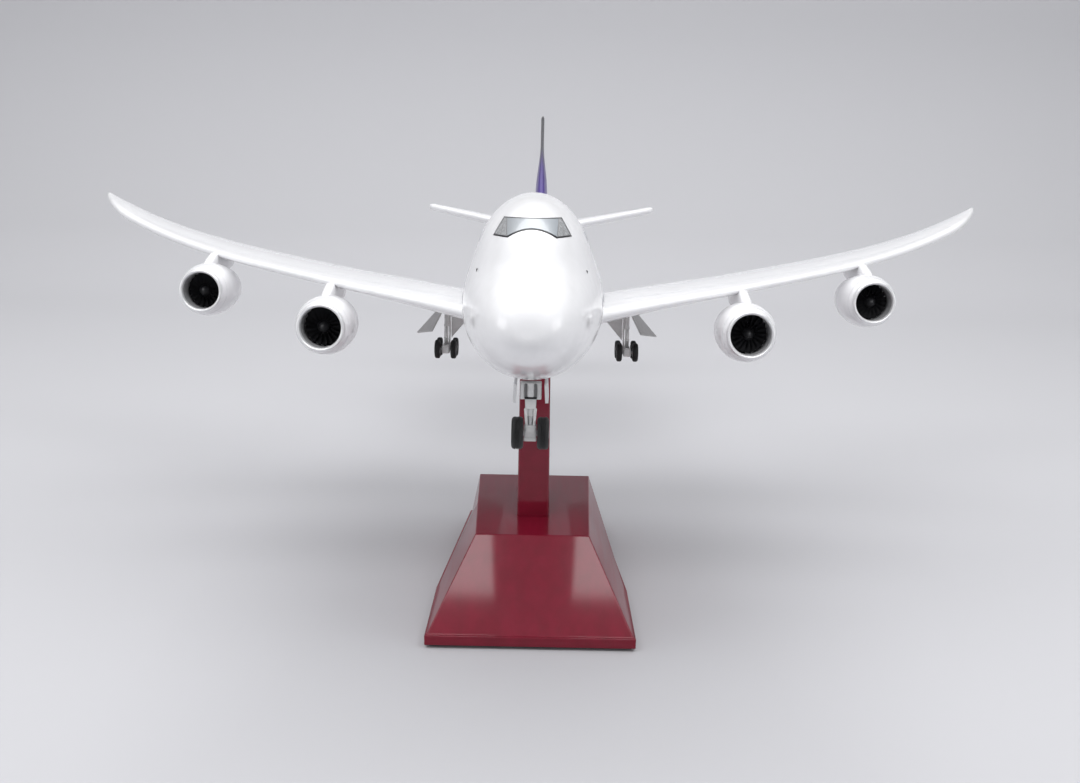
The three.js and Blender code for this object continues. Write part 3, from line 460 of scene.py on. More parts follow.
def add_piece(name, shape, materials, node, replaced, place=AIRCRAFT, sharp=38):
    """Makes a mesh in the shared frame that rides with a node's body and stands for the replaced nodes."""
    mesh = bpy.data.meshes.new(name)
    baked = shape.moved(Matrix.Scale(MILLIMETRE, 4) @ place)
    mesh.from_pydata(baked.points, [], baked.faces)
    for material in materials:
        mesh.materials.append(material)
    mesh.polygons.foreach_set("material_index", baked.finishes)
    mesh.polygons.foreach_set("use_smooth", [True] * len(baked.faces))
    solid = bmesh.new()
    solid.from_mesh(mesh)
    bmesh.ops.recalc_face_normals(solid, faces=solid.faces)
    solid.to_mesh(mesh)
    solid.free()
    mesh.set_sharp_from_angle(angle=radians(sharp))
    piece = bpy.data.objects.new(name, mesh)
    scene.collection.objects.link(piece)
    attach(piece, BODY_OF[node])
    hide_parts(*replaced)
    return piece


def stand_in(node, shape, materials, place=AIRCRAFT, sharp=38):
    """The finished form of one node."""
    return add_piece(f"{node}_finished", shape, materials, node, [node], place, sharp)


# ---------------- marks on a surface
def add_marks(name, marks, finish, node):
    """Printed marks that ride with a node and stand for none."""
    add_piece(name, together(marks), [finish], node, [])


MARK_PROUD, LINE_PROUD, MARK_SINK = 0.04, 0.03, 0.12
LINE_STEP = 0.6                      # the longest stretch of a printed line, in the surface's units


def mark(surface, outline):
    """A thin printed mark. `surface(u, v, proud)` gives points, and the outline is in (u, v)."""
    top = [surface(u, v, MARK_PROUD) for u, v in outline]
    low = [surface(u, v, -MARK_SINK) for u, v in outline]
    u, v = (sum(values) / len(outline) for values in zip(*outline))
    return skin([[surface(u, v, -MARK_SINK)], low, top, [surface(u, v, MARK_PROUD)]])


def line_mark(surface, points, width, closed=False):
    """A thin printed line of `width`, in the surface's own units, along points joined by straight lines."""
    path = []
    ends = points[1:] + points[:1] if closed else points[1:]
    for start, end in zip(points, ends):
        pieces = max(1, ceil(dist(start, end) / LINE_STEP))
        path += [(start[0] + (end[0] - start[0]) * k / pieces, start[1] + (end[1] - start[1]) * k / pieces)
                 for k in range(pieces)]
    if not closed:
        path.append(points[-1])
    rings = []
    for k, (u, v) in enumerate(path):
        before = path[k - 1] if k or closed else path[k]
        after = path[(k + 1) % len(path)] if k + 1 < len(path) or closed else path[k]
        along = Vector((after[0] - before[0], after[1] - before[1])).normalized()
        side = Vector((-along.y, along.x)) * width / 2
        edges = ((u + side.x, v + side.y), (u - side.x, v - side.y))
        rings.append([surface(*edges[0], LINE_PROUD), surface(*edges[1], LINE_PROUD),
                      surface(*edges[1], -MARK_SINK), surface(*edges[0], -MARK_SINK)])
    return skin(rings, loop=True) if closed else closed_skin(rings)


def rounded_outline(u, v, width, height, corner, steps=3):
    return [(u + point.x, v + point.y) for point in rounded_rectangle(width, height, corner, steps)]


# ---------------- fuselage
def clamp01(t):
    return min(1.0, max(0.0, t))


def smooth(t):
    t = clamp01(t)
    return t * t * (3 - 2 * t)


def lerp(a, b, t):
    return a + (b - a) * t


def at(x, station, height):
    """A point of the aircraft in its own frame, in millimetres."""
    return Vector((x, station - SEAT.station, height - SEAT.height)) * SCALE


def nose_curve(t, bluntness=NOSE.bluntness):
    return (1 - (1 - clamp01(t)) ** NOSE.fullness) ** bluntness


def lobes_at(station):
    """The hull's middle height, half height and half width, and its upper deck's half width, centre, rise."""
    ahead = station / NOSE.length
    aft = clamp01((station - TAIL.start) / (HULL.length - TAIL.start))
    keel = lerp(HULL.tip_height, HULL.keel, nose_curve(ahead, NOSE.keel_bluntness))
    keel += TAIL.keel_rise * aft ** TAIL.keel_power
    crown = lerp(HULL.tip_height, HULL.crown, nose_curve(ahead)) - TAIL.crown_drop * aft * aft
    narrowing = (HULL.half_width - TAIL.end_half_width) * aft ** TAIL.side_power
    half_width = HULL.half_width * nose_curve(ahead) - narrowing
    middle = (keel + crown) / 2
    into = clamp01((station - DECK.start) / DECK.nose_length)
    rise = 1 - (1 - into) ** DECK.rise_power
    fade = smooth((station - DECK.fade_start) / (DECK.fade_end - DECK.fade_start))
    deck_crown = lerp(DECK.nose_base, DECK.crown, rise ** DECK.crown_power) - DECK.fade_drop * fade
    deck_half = DECK.half_width * rise ** DECK.side_power * (1 - DECK.fade_narrow * fade)
    reach = max(0.0, deck_crown - middle) if into > 0 and aft == 0 else 0.0
    return middle, (crown - keel) / 2, half_width, deck_half, DECK.centre_share * reach, \
        (1 - DECK.centre_share) * reach


def reach_to(sx, sz, lift, half_width, half_height):
    """Distance from the middle to an ellipse raised by `lift`, along a direction."""
    a = (sx / half_width) ** 2 + (sz / half_height) ** 2
    b = sz * lift / half_height ** 2
    c = (lift / half_height) ** 2 - 1
    return max(0.0, (b + sqrt(max(0.0, b * b - a * c))) / a)


def hull_reach(station, angle):
    """Height of the hull's middle at a station, and its radius at an angle from straight down."""
    middle, half_height, half_width, deck_half, deck_centre, deck_rise = lobes_at(station)
    sx, sz = sin(angle), -cos(angle)
    lower = reach_to(sx, sz, 0, half_width, half_height)
    has_deck = min(deck_rise, deck_half) > 0.05
    upper = reach_to(sx, sz, deck_centre, deck_half, deck_rise) if has_deck else 0
    return middle, (lower ** LOBE_BLEND + upper ** LOBE_BLEND) ** (1 / LOBE_BLEND)


def hull_ring(station, sides, grow=0.0):
    ring = []
    for angle in round_angles(sides):
        middle, reach = hull_reach(station, angle)
        reach += grow
        ring.append(at(sin(angle) * reach, station + NOSE.set_back, middle - cos(angle) * reach))
    return ring


def hull_side(sign):
    """The hull's flank, as a surface over (station, height)."""
    def surface(station, height, proud):
        low, high = 0.0, pi
        for _ in range(22):
            angle = (low + high) / 2
            middle, reach = hull_reach(station, angle)
            if middle - cos(angle) * reach < height:
                low = angle
            else:
                high = angle
        reach += proud / SCALE
        return at(sign * sin(angle) * reach, station, middle - cos(angle) * reach)
    return surface


def on_nose(x, height):
    """The hull's point ahead, at this x and height."""
    low, high = 0.05, 14.0
    for _ in range(24):
        station = (low + high) / 2
        middle = lobes_at(station)[0]
        _, reach = hull_reach(station, atan2(x, middle - height))
        if reach < hypot(x, height - middle):
            low = station
        else:
            high = station
    return at(x, station, height)


def nose_face(x, height, proud):
    """The nose's skin as a surface over (x, height), as it is seen from straight ahead."""
    step = 0.02
    here = on_nose(x, height)
    normal = (on_nose(x + step, height) - here).cross(on_nose(x, height + step) - here).normalized()
    return here + normal * proud


def make_fuselage():
    sides = 112
    stations = [lerp(NOSE.start, NOSE.length, (k / 60) ** 2.7) for k in range(1, 61)]
    stations += [lerp(NOSE.length, TAIL.start, k / 30) for k in range(1, 31)]
    stations += [lerp(TAIL.start, HULL.length, (k / 34) ** 0.95) for k in range(1, 35)]
    rings = [hull_ring(station, sides) for station in stations]
    exhaust = [hull_ring(HULL.length, sides, -0.08), hull_ring(HULL.length - 0.1, sides, -0.13),
               hull_ring(HULL.length - 0.8, sides, -0.2)]
    tip = [at(0, NOSE.start + NOSE.set_back, HULL.tip_height)]
    outside = skin([tip, *rings, exhaust[0]])
    # The exhaust's hollow takes the duct grey, painted shade inside it.
    inside = skin([*exhaust, [middle_of(exhaust[-1])]], finish=1)
    nodes = [f"fuselage_{side}" for side, _ in SIDES]
    add_piece("fuselage_skin", outside + inside, [WHITE, DUCT_PAINTED_SHADE], nodes[0], nodes, sharp=50)


WINDOW = Sizes(width=0.27, height=0.4, pitch=0.62, corner=0.11)
MAIN_DOORS = [9.6, 19.2, 30.6, 43.0, 60.5]
MAIN_DECK, UPPER_DECK = 5.72, 8.15
WINDOW_ROW = Sizes(start=8.0, end=64.5, door_gap=0.85)
UPPER_ROW = Sizes(start=7.5, end=25.5, door=17.6, door_gap=0.8)
PROBE = (5.1, 6.95)                  # station and height of the probe below each side of the cockpit


def tail_rise(station):
    """How far a printed row has risen with the tail, from 0 to 1."""
    return clamp01((station - 58) / 16)


def window_stations():
    count = int((WINDOW_ROW.end - WINDOW_ROW.start) / WINDOW.pitch)
    return [WINDOW_ROW.start + k * WINDOW.pitch for k in range(count)]


def main_windows():
    gap = WINDOW_ROW.door_gap
    return [station for station in window_stations() if all(abs(station - door) > gap for door in MAIN_DOORS)]


def upper_windows():
    row = UPPER_ROW
    return [station for station in window_stations()
            if row.start < station < row.end and abs(station - row.door) > row.door_gap]


def make_hull_marks():
    """Printed cabin windows and door outlines, and a probe below each side of the cockpit."""
    for side, sign in SIDES:
        surface = hull_side(sign)
        window_at = [(station, MAIN_DECK + 0.55 * tail_rise(station)) for station in main_windows()]
        window_at += [(station, UPPER_DECK) for station in upper_windows()]
        size = WINDOW.width, WINDOW.height, WINDOW.corner
        marks = [mark(surface, rounded_outline(station, level, *size)) for station, level in window_at]
        outlines = [rounded_outline(UPPER_ROW.door, UPPER_DECK - 0.1, 0.9, 1.5, 0.2)]
        for door in MAIN_DOORS:
            level = MAIN_DECK - 0.25 + 0.5 * tail_rise(door)
            outlines.append(rounded_outline(door, level, 1.1, 1.95, 0.25))
            marks.append(mark(surface, rounded_outline(door, level + 0.3, 0.2, 0.3, 0.09)))
        marks += [line_mark(surface, outline, 0.045, closed=True) for outline in outlines]
        add_marks(f"cabin_prints_{side}", marks, PRINT_GREY, f"fuselage_{side}")
        foot = surface(*PROBE, 0)
        out = (foot - at(0, *PROBE)).normalized()
        inner, outer = foot - out * 0.3, foot + out * 0.14
        corners = [inner + Vector((0, -0.25, 0.5)), outer + Vector((0, -0.1, 0.45)),
                   outer + Vector((0, 0.1, -0.45)), inner + Vector((0, 0.25, -0.5))]
        blade = panel(corners, 0.2, 3, 4, finishes=(0, 0))
        add_marks(f"probe_{side}", [blade], PROBE_GREY_AND_PAINTED_SHADE, f"fuselage_{side}")


# ---------------- cockpit glazing
# Corners in (x, height), as seen from ahead, of one side's panes. Their order is bottom inner, bottom outer,
# top outer, top inner.
FRONT_PANE = [(0.0, 8.435), (0.828, 8.17), (0.88, 8.775), (0.0, 8.75)]
SIDE_PANES = [
    [(0.865, 8.185), (1.06, 8.2), (0.945, 8.77), (0.905, 8.77)],
    [(1.095, 8.205), (1.28, 8.24), (0.985, 8.77), (0.96, 8.77)],
]
BAND = [
    [(0.0, 8.395), (0.82, 8.12), (0.895, 8.815), (0.0, 8.785)],
    [(0.82, 8.12), (1.36, 8.175), (1.0, 8.825), (0.895, 8.815)],
]
PANE_SINK = 0.25                     # how far each pane reaches into the nose, in millimetres
FRAME_BAND = [(0.84, 8.165), (1.31, 8.215), (0.99, 8.785), (0.885, 8.785)]


def pane(corners, proud, columns, rows, finish, bend=1.0):
    """A pane over four corners of the nose's skin. `bend` above 1 rounds its edges near the outer corners."""
    (ax, ah), (bx, bh), (cx, ch), (dx, dh) = corners
    top, low = [], []
    for row in range(rows + 1):
        v = row / rows
        for column in range(columns + 1):
            u = column / columns
            x = lerp(lerp(ax, bx, u), lerp(dx, cx, u), v)
            height = lerp(lerp(ah, bh, u ** bend), lerp(dh, ch, u ** bend), v)
            top.append(nose_face(x, height, proud))
            low.append(nose_face(x, height, -PANE_SINK))
    return between(top, low, columns, rows, (finish, finish))


def make_glazing():
    layers = []
    for sign in (1, -1):
        half = pane(BAND[0], 0.03, 14, 6, 0, bend=1.9) + pane(BAND[1], 0.03, 6, 6, 0)
        half += pane(FRAME_BAND, 0.055, 6, 6, 3)
        half += pane(FRONT_PANE, 0.08, 14, 6, 1, bend=1.9)
        for corners in SIDE_PANES:
            half += pane(corners, 0.09, 4, 6, 2)
        layers.append(half.sided(sign))
    stand_in("cockpit_windows", together(layers), [PRINT_DARK, PANE_FRONT_PAINTED_HIGHLIGHT, PANE_SIDE, PANE_FRAME])


# ---------------- wings and tail
CHORD_POINTS = 24
CHORD = [(1 - cos(pi * k / CHORD_POINTS)) / 2 for k in range(CHORD_POINTS + 1)]


def section_half(t):
    return 1.4845 * sqrt(t) - 0.63 * t - 1.758 * t ** 2 + 1.4215 * t ** 3 - 0.5075 * t ** 4


def half_depth(edges, thickness, station):
    """Half a section's thickness at a station between its edges."""
    lead, trail = edges
    return thickness * section_half(clamp01((station - lead) / (trail - lead))) + EDGE_HALF


def section_ring(lead, trail, thickness, place, closing=1.0):
    """A rounded section, from its trailing edge over the top and back below. `closing` shrinks it at a tip."""
    chord = trail - lead
    lead, trail = lead + chord * 0.3 * (1 - closing), trail - chord * 0.12 * (1 - closing)

    def half(t):
        return closing * (thickness * section_half(t) + EDGE_HALF * min(1, sqrt(t / 0.01)))

    top = [place(lerp(lead, trail, t), half(t)) for t in reversed(CHORD)]
    bottom = [place(lerp(lead, trail, t), -half(t)) for t in CHORD[1:]]
    return top + bottom


def wing_edges(x):
    edge = WING_EDGE
    raked, straight = max(0.0, x - edge.rake), min(x, edge.rake)
    lead = edge.lead_root + edge.sweep * (straight - HULL.half_width)
    lead += edge.rake_lead * raked + edge.rake_curl * raked * raked
    slope = (edge.trail_kink - edge.trail_root) / (edge.kink - HULL.half_width)
    trail = edge.trail_root + slope * (min(straight, edge.kink) - HULL.half_width)
    trail += edge.trail_sweep * max(0.0, straight - edge.kink) + edge.rake_trail * raked
    return lead, trail


def root_share(x):
    return exp(-(x - HULL.half_width) / WING.root_fade)


def wing_height(x):
    bend = WING.tip_bend * (x / WING.tip) ** WING.bend_power
    return WING.root_height - WING.root_droop * root_share(x) + WING.dihedral * x + bend


def wing_thickness(x):
    tip = smooth((x - WING_EDGE.rake) / (WING.tip - WING_EDGE.rake))
    return (WING.thickness + WING.root_thickening * root_share(x)) * (1 - WING.tip_thinning * tip)


def wing_tilt(x):
    """Slope of the wing's chord. The incidence falls evenly from the root to the tip."""
    share = (x - WING.inboard) / (WING.tip - WING.inboard)
    return tan(radians(lerp(WING.root_incidence, WING.tip_incidence, share)))


def closing_at(distance, length):
    """How far a form has closed this near to its end."""
    return sqrt(max(0.0, 1 - clamp01(1 - distance / length) ** 2))


def wing_ring(x):
    pivot, tilt, height = lerp(*wing_edges(x), WING.pivot), wing_tilt(x), wing_height(x)

    def place(station, z):
        return at(x, station, height + z - (station - pivot) * tilt)

    return section_ring(*wing_edges(x), wing_thickness(x), place, max(0.03, closing_at(WING.tip - x, 0.5)))


def wing_face(sign, upper):
    """A wing's top or underside as a surface over (x, station)."""
    def surface(x, station, proud):
        half = half_depth(wing_edges(x), wing_thickness(x), station) + proud / SCALE
        tilt = (station - lerp(*wing_edges(x), WING.pivot)) * wing_tilt(x)
        return at(sign * x, station, wing_height(x) + upper * half - tilt)
    return surface


def tailplane_edges(x):
    out = x - TAILPLANE.inboard
    return TAILPLANE.lead + TAILPLANE.sweep * out, TAILPLANE.trail + TAILPLANE.trail_sweep * out


def tailplane_thickness(x):
    share = (x - TAILPLANE.inboard) / (TAILPLANE.tip - TAILPLANE.inboard)
    return lerp(TAILPLANE.thickness, TAILPLANE.tip_thickness, share)


def tailplane_ring(x):
    height = TAILPLANE.height + TAILPLANE.rise * x
    closing = max(0.04, closing_at(TAILPLANE.tip - x, 0.35))
    return section_ring(
        *tailplane_edges(x), tailplane_thickness(x), lambda station, z: at(x, station, height + z), closing,
    )


def fin_edges(height):
    up = height - FIN.foot
    fillet = FIN.fillet * (1 - clamp01(up / FIN.fillet_rise)) ** FIN.fillet_power
    return FIN.lead + FIN.sweep * up - fillet, FIN.trail + FIN.trail_sweep * up


def fin_thickness(height):
    up = height - FIN.foot - FIN.thin_from
    return lerp(FIN.thickness, FIN.tip_thickness, smooth(up / FIN.thin_over * 0.9 + 0.05))


def fin_ring(height):
    closing = max(0.04, closing_at(FIN.top - height, 0.4))
    return section_ring(
        *fin_edges(height), fin_thickness(height), lambda station, x: at(x, station, height), closing,
    )


def spans(start, end, count, closing):
    """Evenly spaced places from start to end, with close ones over the last stretch."""
    even = [lerp(start, end - closing, k / count) for k in range(count + 1)]
    return even + [end - closing * (1 - sin(pi / 2 * k / 8)) for k in range(1, 9)]


def hinge_line(share, first, last):
    """(x, station) points of a control surface's hinge line, at a share of the wing's chord."""
    places = [lerp(first, last, k / 8) for k in range(9)]
    return [(x, lerp(*wing_edges(x), share)) for x in places]


def chordwise(x, first, last=0.985):
    return [(x, lerp(*wing_edges(x), share)) for share in (first, last)]


# Shares of the wing's chord at each printed line, and the lines' widths in metres of aircraft.
SLAT, SPOILER, FLAP, ELEVATOR, RUDDER = 0.13, 0.62, 0.73, 0.7, 0.68
BOLD, FINE, FIN_BOLD = 0.035, 0.03, 0.04
FLAP_ENDS = [4.0, 10.9, 13.2, 22.4, 28.6]
SPOILER_ENDS = (5.2, 21.6)
ELEVATOR_ENDS, RUDDER_ENDS = (2.2, 6.2, 10.0), (9.3, 13.0, 18.1)
CANOES = [(10.1, 0.78), (19.5, 0.74)]    # x, and the share of the chord where the pod starts
CANOE = Sizes(half_width=0.24, depth=0.74, rise=0.16, ahead=1.3, past=0.55)


def canoe(x, share):
    """A flap-track fairing: a pod under the wing that runs past the trailing edge."""
    lead, trail = wing_edges(x)
    start, end = lerp(lead, trail, share) - CANOE.ahead, trail + CANOE.past
    tilt = wing_tilt(x)
    rings = []
    for k in range(1, 24):
        t = k / 24
        station = lerp(start, end, t)
        size = sin(pi * t ** 0.8) ** 0.62
        base = wing_height(x) - 0.12 - (station - lerp(lead, trail, WING.pivot)) * tilt - 0.1 * t
        rings.append([
            at(x + CANOE.half_width * size * cos(a), station,
               base + (CANOE.depth if sin(a) < 0 else CANOE.rise) * size * sin(a)) for a in round_angles(24)
        ])
    return closed_skin(rings)


def make_wings():
    for side, sign in SIDES:
        rings = [wing_ring(x) for x in spans(WING.root, WING.tip, 64, 0.5)]
        pods = together(canoe(x, share) for x, share in CANOES)
        stand_in(f"wing_{side}", (closed_skin(rings) + pods).sided(sign), [WHITE], sharp=48)
        marks = []
        for upper in (1, -1):
            surface = wing_face(sign, upper)
            marks.append(line_mark(surface, hinge_line(FLAP, FLAP_ENDS[0], FLAP_ENDS[-1]), BOLD))
            marks.append(line_mark(surface, hinge_line(SLAT, 4.4, 29.5), FINE))
            marks += [line_mark(surface, chordwise(x, FLAP), BOLD) for x in FLAP_ENDS]
        surface = wing_face(sign, 1)
        marks.append(line_mark(surface, hinge_line(SPOILER, *SPOILER_ENDS), FINE))
        span = SPOILER_ENDS[1] - SPOILER_ENDS[0]
        ends = [SPOILER_ENDS[0] + span * k / 8 for k in range(9)]
        marks += [line_mark(surface, chordwise(x, SPOILER, FLAP), FINE) for x in ends]
        add_marks(f"wing_panel_lines_{side}", marks, PRINT_GREY, f"wing_{side}")


def tail_face(sign, upper):
    def surface(x, station, proud):
        half = half_depth(tailplane_edges(x), tailplane_thickness(x), station) + proud / SCALE
        return at(sign * x, station, TAILPLANE.height + TAILPLANE.rise * x + upper * half)
    return surface


def fin_face(sign):
    def surface(station, height, proud):
        half = half_depth(fin_edges(height), fin_thickness(height), station)
        return at(sign * (half + proud / SCALE), station, height)
    return surface


def on_tailplane(x, share):
    return x, lerp(*tailplane_edges(x), share)


def on_fin(height, share):
    return lerp(*fin_edges(height), share), height


def make_tail():
    for side, sign in SIDES:
        rings = [tailplane_ring(x) for x in spans(TAILPLANE.root, TAILPLANE.tip, 20, 0.35)]
        stand_in(f"tailplane_{side}", closed_skin(rings).sided(sign), [WHITE], sharp=48)
        marks = []
        for upper in (1, -1):
            surface = tail_face(sign, upper)
            lines = [[on_tailplane(x, ELEVATOR) for x in ELEVATOR_ENDS[::2]]]
            lines += [[on_tailplane(x, share) for share in (ELEVATOR, 0.98)] for x in ELEVATOR_ENDS]
            marks += [line_mark(surface, line, BOLD) for line in lines]
        add_marks(f"tailplane_lines_{side}", marks, PRINT_GREY, f"tailplane_{side}")
    rings = [fin_ring(height) for height in spans(7.6, FIN.top, 40, 0.4)]
    stand_in("fin", closed_skin(rings), [VIOLET], sharp=48)
    marks = []
    for sign in (1, -1):
        lines = [[on_fin(height, RUDDER) for height in RUDDER_ENDS[::2]]]
        lines += [[on_fin(height, share) for share in (RUDDER, 0.985)] for height in RUDDER_ENDS]
        marks += [line_mark(fin_face(sign), line, FIN_BOLD) for line in lines]
    add_marks("rudder_lines", marks, PRINT_DARK, "fin")


def make_fairing():
    """The wing-to-body fairing grows out of the hull, runs flat under the wings and fades out aft of them."""
    outline = [(0, 0), (0.45, 0), (0.8, 0.3), (0.97, 0.72), (1.0, 1.0), (0.9, 1.4), (0.6, 1.7), (0, 1.8)]
    section = flowing(outline, 5)
    rings = []
    count = 44
    for k in range(count + 1):
        t = k / count
        station = lerp(FAIRING.front, FAIRING.back, t)
        full = sin(pi * lerp(0.03, 0.97, t)) ** 0.35
        grown = smooth(t / 0.16) * smooth((1 - t) / 0.16)
        half = FAIRING.half_width * full
        bottom = lerp(HULL.keel + 0.25, FAIRING.bottom, grown)
        depth = FAIRING.shoulder - bottom
        right = [at(half * p.x, station, bottom + depth * p.y) for p in section]
        rings.append(right + [Vector((-p.x, p.y, p.z)) for p in reversed(right[1:-1])])
    stand_in("belly_fairing", closed_skin(rings), [WHITE], sharp=60)


# ---------------- engines, each drawn about its own axis, Y
ROUND = 96
TEETH = 14                           # serrations round the cowl's exit
GUIDE_VANES = 24                     # slanted vanes behind the fan, close enough to hide the way through


TOOTH_DEPTH, TEETH_FROM, TEETH_OVER = 1.25, 28.2, 1.8
LIP = Sizes(radius=8.2, half_width=0.78, back=1.67, length=1.65)
PYLON = Sizes(front=7.05, back=56.9, half_width=2.1)


def exit_teeth(angle, y):
    """Draws the cowl's exit edge into shallow teeth."""
    wave = abs((angle / (2 * pi) * TEETH) % 1 * 2 - 1)
    return y - TOOTH_DEPTH * wave * smooth((y - TEETH_FROM) / TEETH_OVER)


def lip_shape():
    angles = [pi * k / 24 for k in range(25)]
    edge = [(LIP.radius + LIP.half_width * cos(a), LIP.back - LIP.length * sin(a) ** 0.8) for a in angles]
    return turned(edge, ROUND, loop=True)


def nacelle_shape():
    outside = flowing([(8.98, 1.68), (9.9, 4.2), (10.65, 7.4), (11.08, 11.5), (10.9, 17.5), (10.1, 24),
                       (9.35, 28.2), (8.95, 30)])
    inside = flowing([(8.7, 29.95), (8.78, 24), (8.35, 16), (7.85, 10.5), (7.55, 6), (7.4, 1.68)])
    shell = turned(outside + inside, ROUND, loop=True, trim=exit_teeth)
    first_inside = (len(outside) - 1) * ROUND
    # The inside of the cowl takes the duct grey, painted shade inside the inlet.
    shell.finishes = [0 if k < first_inside else 1 for k in range(len(shell.faces))]
    seams = [
        turned([(r + 0.02, y), (r + 0.02, y + 0.16), (r - 0.3, y + 0.16), (r - 0.3, y)], ROUND, 2, loop=True)
        for r, y in ((9.92, 4.2), (10.93, 16.8))
    ]
    return shell + together(seams)


def core_shape():
    casing = flowing([(3.0, 9.7), (4.5, 13.5), (5.15, 19), (5.2, 27), (4.85, 33), (4.15, 39.6), (3.8, 41)])
    plug = flowing([(2.5, 38.5), (2.35, 41.5), (1.5, 44.3), (0.5, 46.2), (0, 46.5)])
    shaft, nozzle = [(0, 6.4), (0.9, 6.4), (0.9, 9.4)], [(3.55, 40.9), (3.4, 38.5), (2.5, 38.5)]
    body = turned([*shaft, *casing, *nozzle, *plug[1:]], 64)
    vane = panel([(-2, 11, 2.6), (2, 15, 3.2), (2, 15, 7.9), (-2, 11, 7.7)], 0.3, 4, 3, finishes=(1, 1))
    return body + round_y(vane, GUIDE_VANES)


def fan_blade(hub, tip):
    """One twisted fan blade, standing up along Z."""
    rings = []
    for k in range(9):
        t = k / 8
        radius = lerp(hub, tip, t)
        chord = lerp(2.0, 2.75, sin(pi * 0.5 * t)) * (1 - 0.25 * max(0.0, t - 0.8) / 0.2)
        pitch = radians(lerp(28, 61, t))
        thickness = lerp(0.34, 0.14, t)
        ring = []
        for u, w in ((-1, 0), (-0.6, 0.75), (0, 1), (0.6, 0.7), (1, 0), (0.6, -0.5), (0, -0.7), (-0.6, -0.5)):
            along, across = u * chord / 2, w * thickness / 2 - 0.12 * (1 - u * u) * t
            ring.append(Vector((
                along * sin(pitch) + across * cos(pitch),
                FAN.face + 0.35 * t * t + along * cos(pitch) - across * sin(pitch),
                radius,
            )))
        rings.append(ring)
    return closed_skin(rings)


def fan_shape():
    spinner = flowing([(0, 3.35), (0.9, 3.95), (1.75, 5.2), (2.25, 6.5), (2.4, 8.2)])
    boss = turned([*spinner, (2.4, 9.2), (1.15, 9.2), (1.15, 6.1), (0, 6.1)])
    return boss + round_y(fan_blade(FAN.hub, FAN.tip), FAN.blades)


def pylon_shape():
    """A strut with a rounded front and a thin tail, from the cowl's back up into the wing."""
    top = [(7, 10.2), (13, 12.7), (20, 15.5), (54, 15.9), (57, 15.1)]
    low = [(7, 9.6), (12, 6.6), (31, 6.4), (44, 8.2), (57, 16.2)]

    def along(line, y):
        for (y0, z0), (y1, z1) in zip(line, line[1:]):
            if y <= y1:
                return lerp(z0, z1, (y - y0) / (y1 - y0))
        return line[-1][1]

    rings = []
    for k in range(49):
        y = lerp(PYLON.front, PYLON.back, k / 48)
        half = PYLON.half_width * clamp01((y - 6.4) / 7) ** 0.5 * clamp01((57.6 - y) / 20) ** 0.6
        z0, z1 = along(low, y), along(top, y)
        rings.append([
            Vector((
                half * copysign(abs(cos(a)) ** 0.7, cos(a)), y,
                (z0 + z1) / 2 + (z1 - z0) / 2 * copysign(abs(sin(a)) ** 0.6, sin(a)),
            )) for a in round_angles(20)
        ])
    return closed_skin(rings)


def make_engines():
    lip, nacelle, core, fan, pylon = lip_shape(), nacelle_shape(), core_shape(), fan_shape(), pylon_shape()
    for side, _ in SIDES:
        for row in ("inner", "outer"):
            label = f"{side}_{row}"
            mount = TO_AIRCRAFT @ JOINT_AT[f"fan_spin_{label}"] - Vector((0, FAN.face, 0))
            place = placed(mount)
            stand_in(f"inlet_lip_{label}", lip, [LIP_METAL], place)
            stand_in(f"nacelle_{label}", nacelle, [WHITE, DUCT_PAINTED_SHADE, PRINT_GREY], place, sharp=50)
            stand_in(f"engine_core_{label}", core, [CORE_GREY, FAN_BLACK], place)
            stand_in(f"fan_{label}", fan, [FAN_BLACK], place, sharp=30)
            stand_in(f"pylon_{label}", pylon, [WHITE], place, sharp=55)


# ---------------- undercarriage
# radius, distance of the inner face from the leg's middle, width, and radius of the rim
MAIN_TYRE, NOSE_TYRE = (3.95, 2.2, 2.3, 1.95), (4.15, 1.75, 3.0, 2.1)


def tyre(radius, inside, width, rim):
    """A tyre about X, with round shoulders and three grooves, and a dished hub with bolts in its outer face."""
    outside, middle = inside + width, inside + width / 2
    profile = [(rim, inside + 0.1), (radius * 0.7, inside)]
    for k in range(7):
        angle = pi / 2 * k / 6
        profile.append((radius - 0.9 + 0.9 * sin(angle), inside + 0.85 * (1 - cos(angle))))
    for groove in (-0.36, 0, 0.36):
        profile += [(radius, middle + groove - 0.08), (radius - 0.16, middle + groove - 0.05),
                    (radius - 0.16, middle + groove + 0.05), (radius, middle + groove + 0.08)]
    for k in range(7):
        angle = pi / 2 * (1 - k / 6)
        profile.append((radius - 0.9 + 0.9 * sin(angle), outside - 0.85 * (1 - cos(angle))))
    profile += [(radius * 0.7, outside), (rim, outside - 0.1)]
    rubber = turned(profile, 56, 0, loop=True)
    hub = turned([
        (0, inside + 0.25), (rim, inside + 0.2), (rim + 0.05, outside - 0.2), (rim - 0.25, outside - 0.22),
        (rim - 0.45, outside - 0.75), (0.75, outside - 0.62), (0.62, outside - 0.15), (0, outside - 0.1),
    ], 40, 1)
    bolts = [rod((1.25 * cos(a), outside - 0.8, 1.25 * sin(a)),
                 (1.25 * cos(a), outside - 0.5, 1.25 * sin(a)), 0.16, 1, 8)
             for a in round_angles(8)]
    return (rubber + hub + together(bolts)).moved(Y_TO_X)


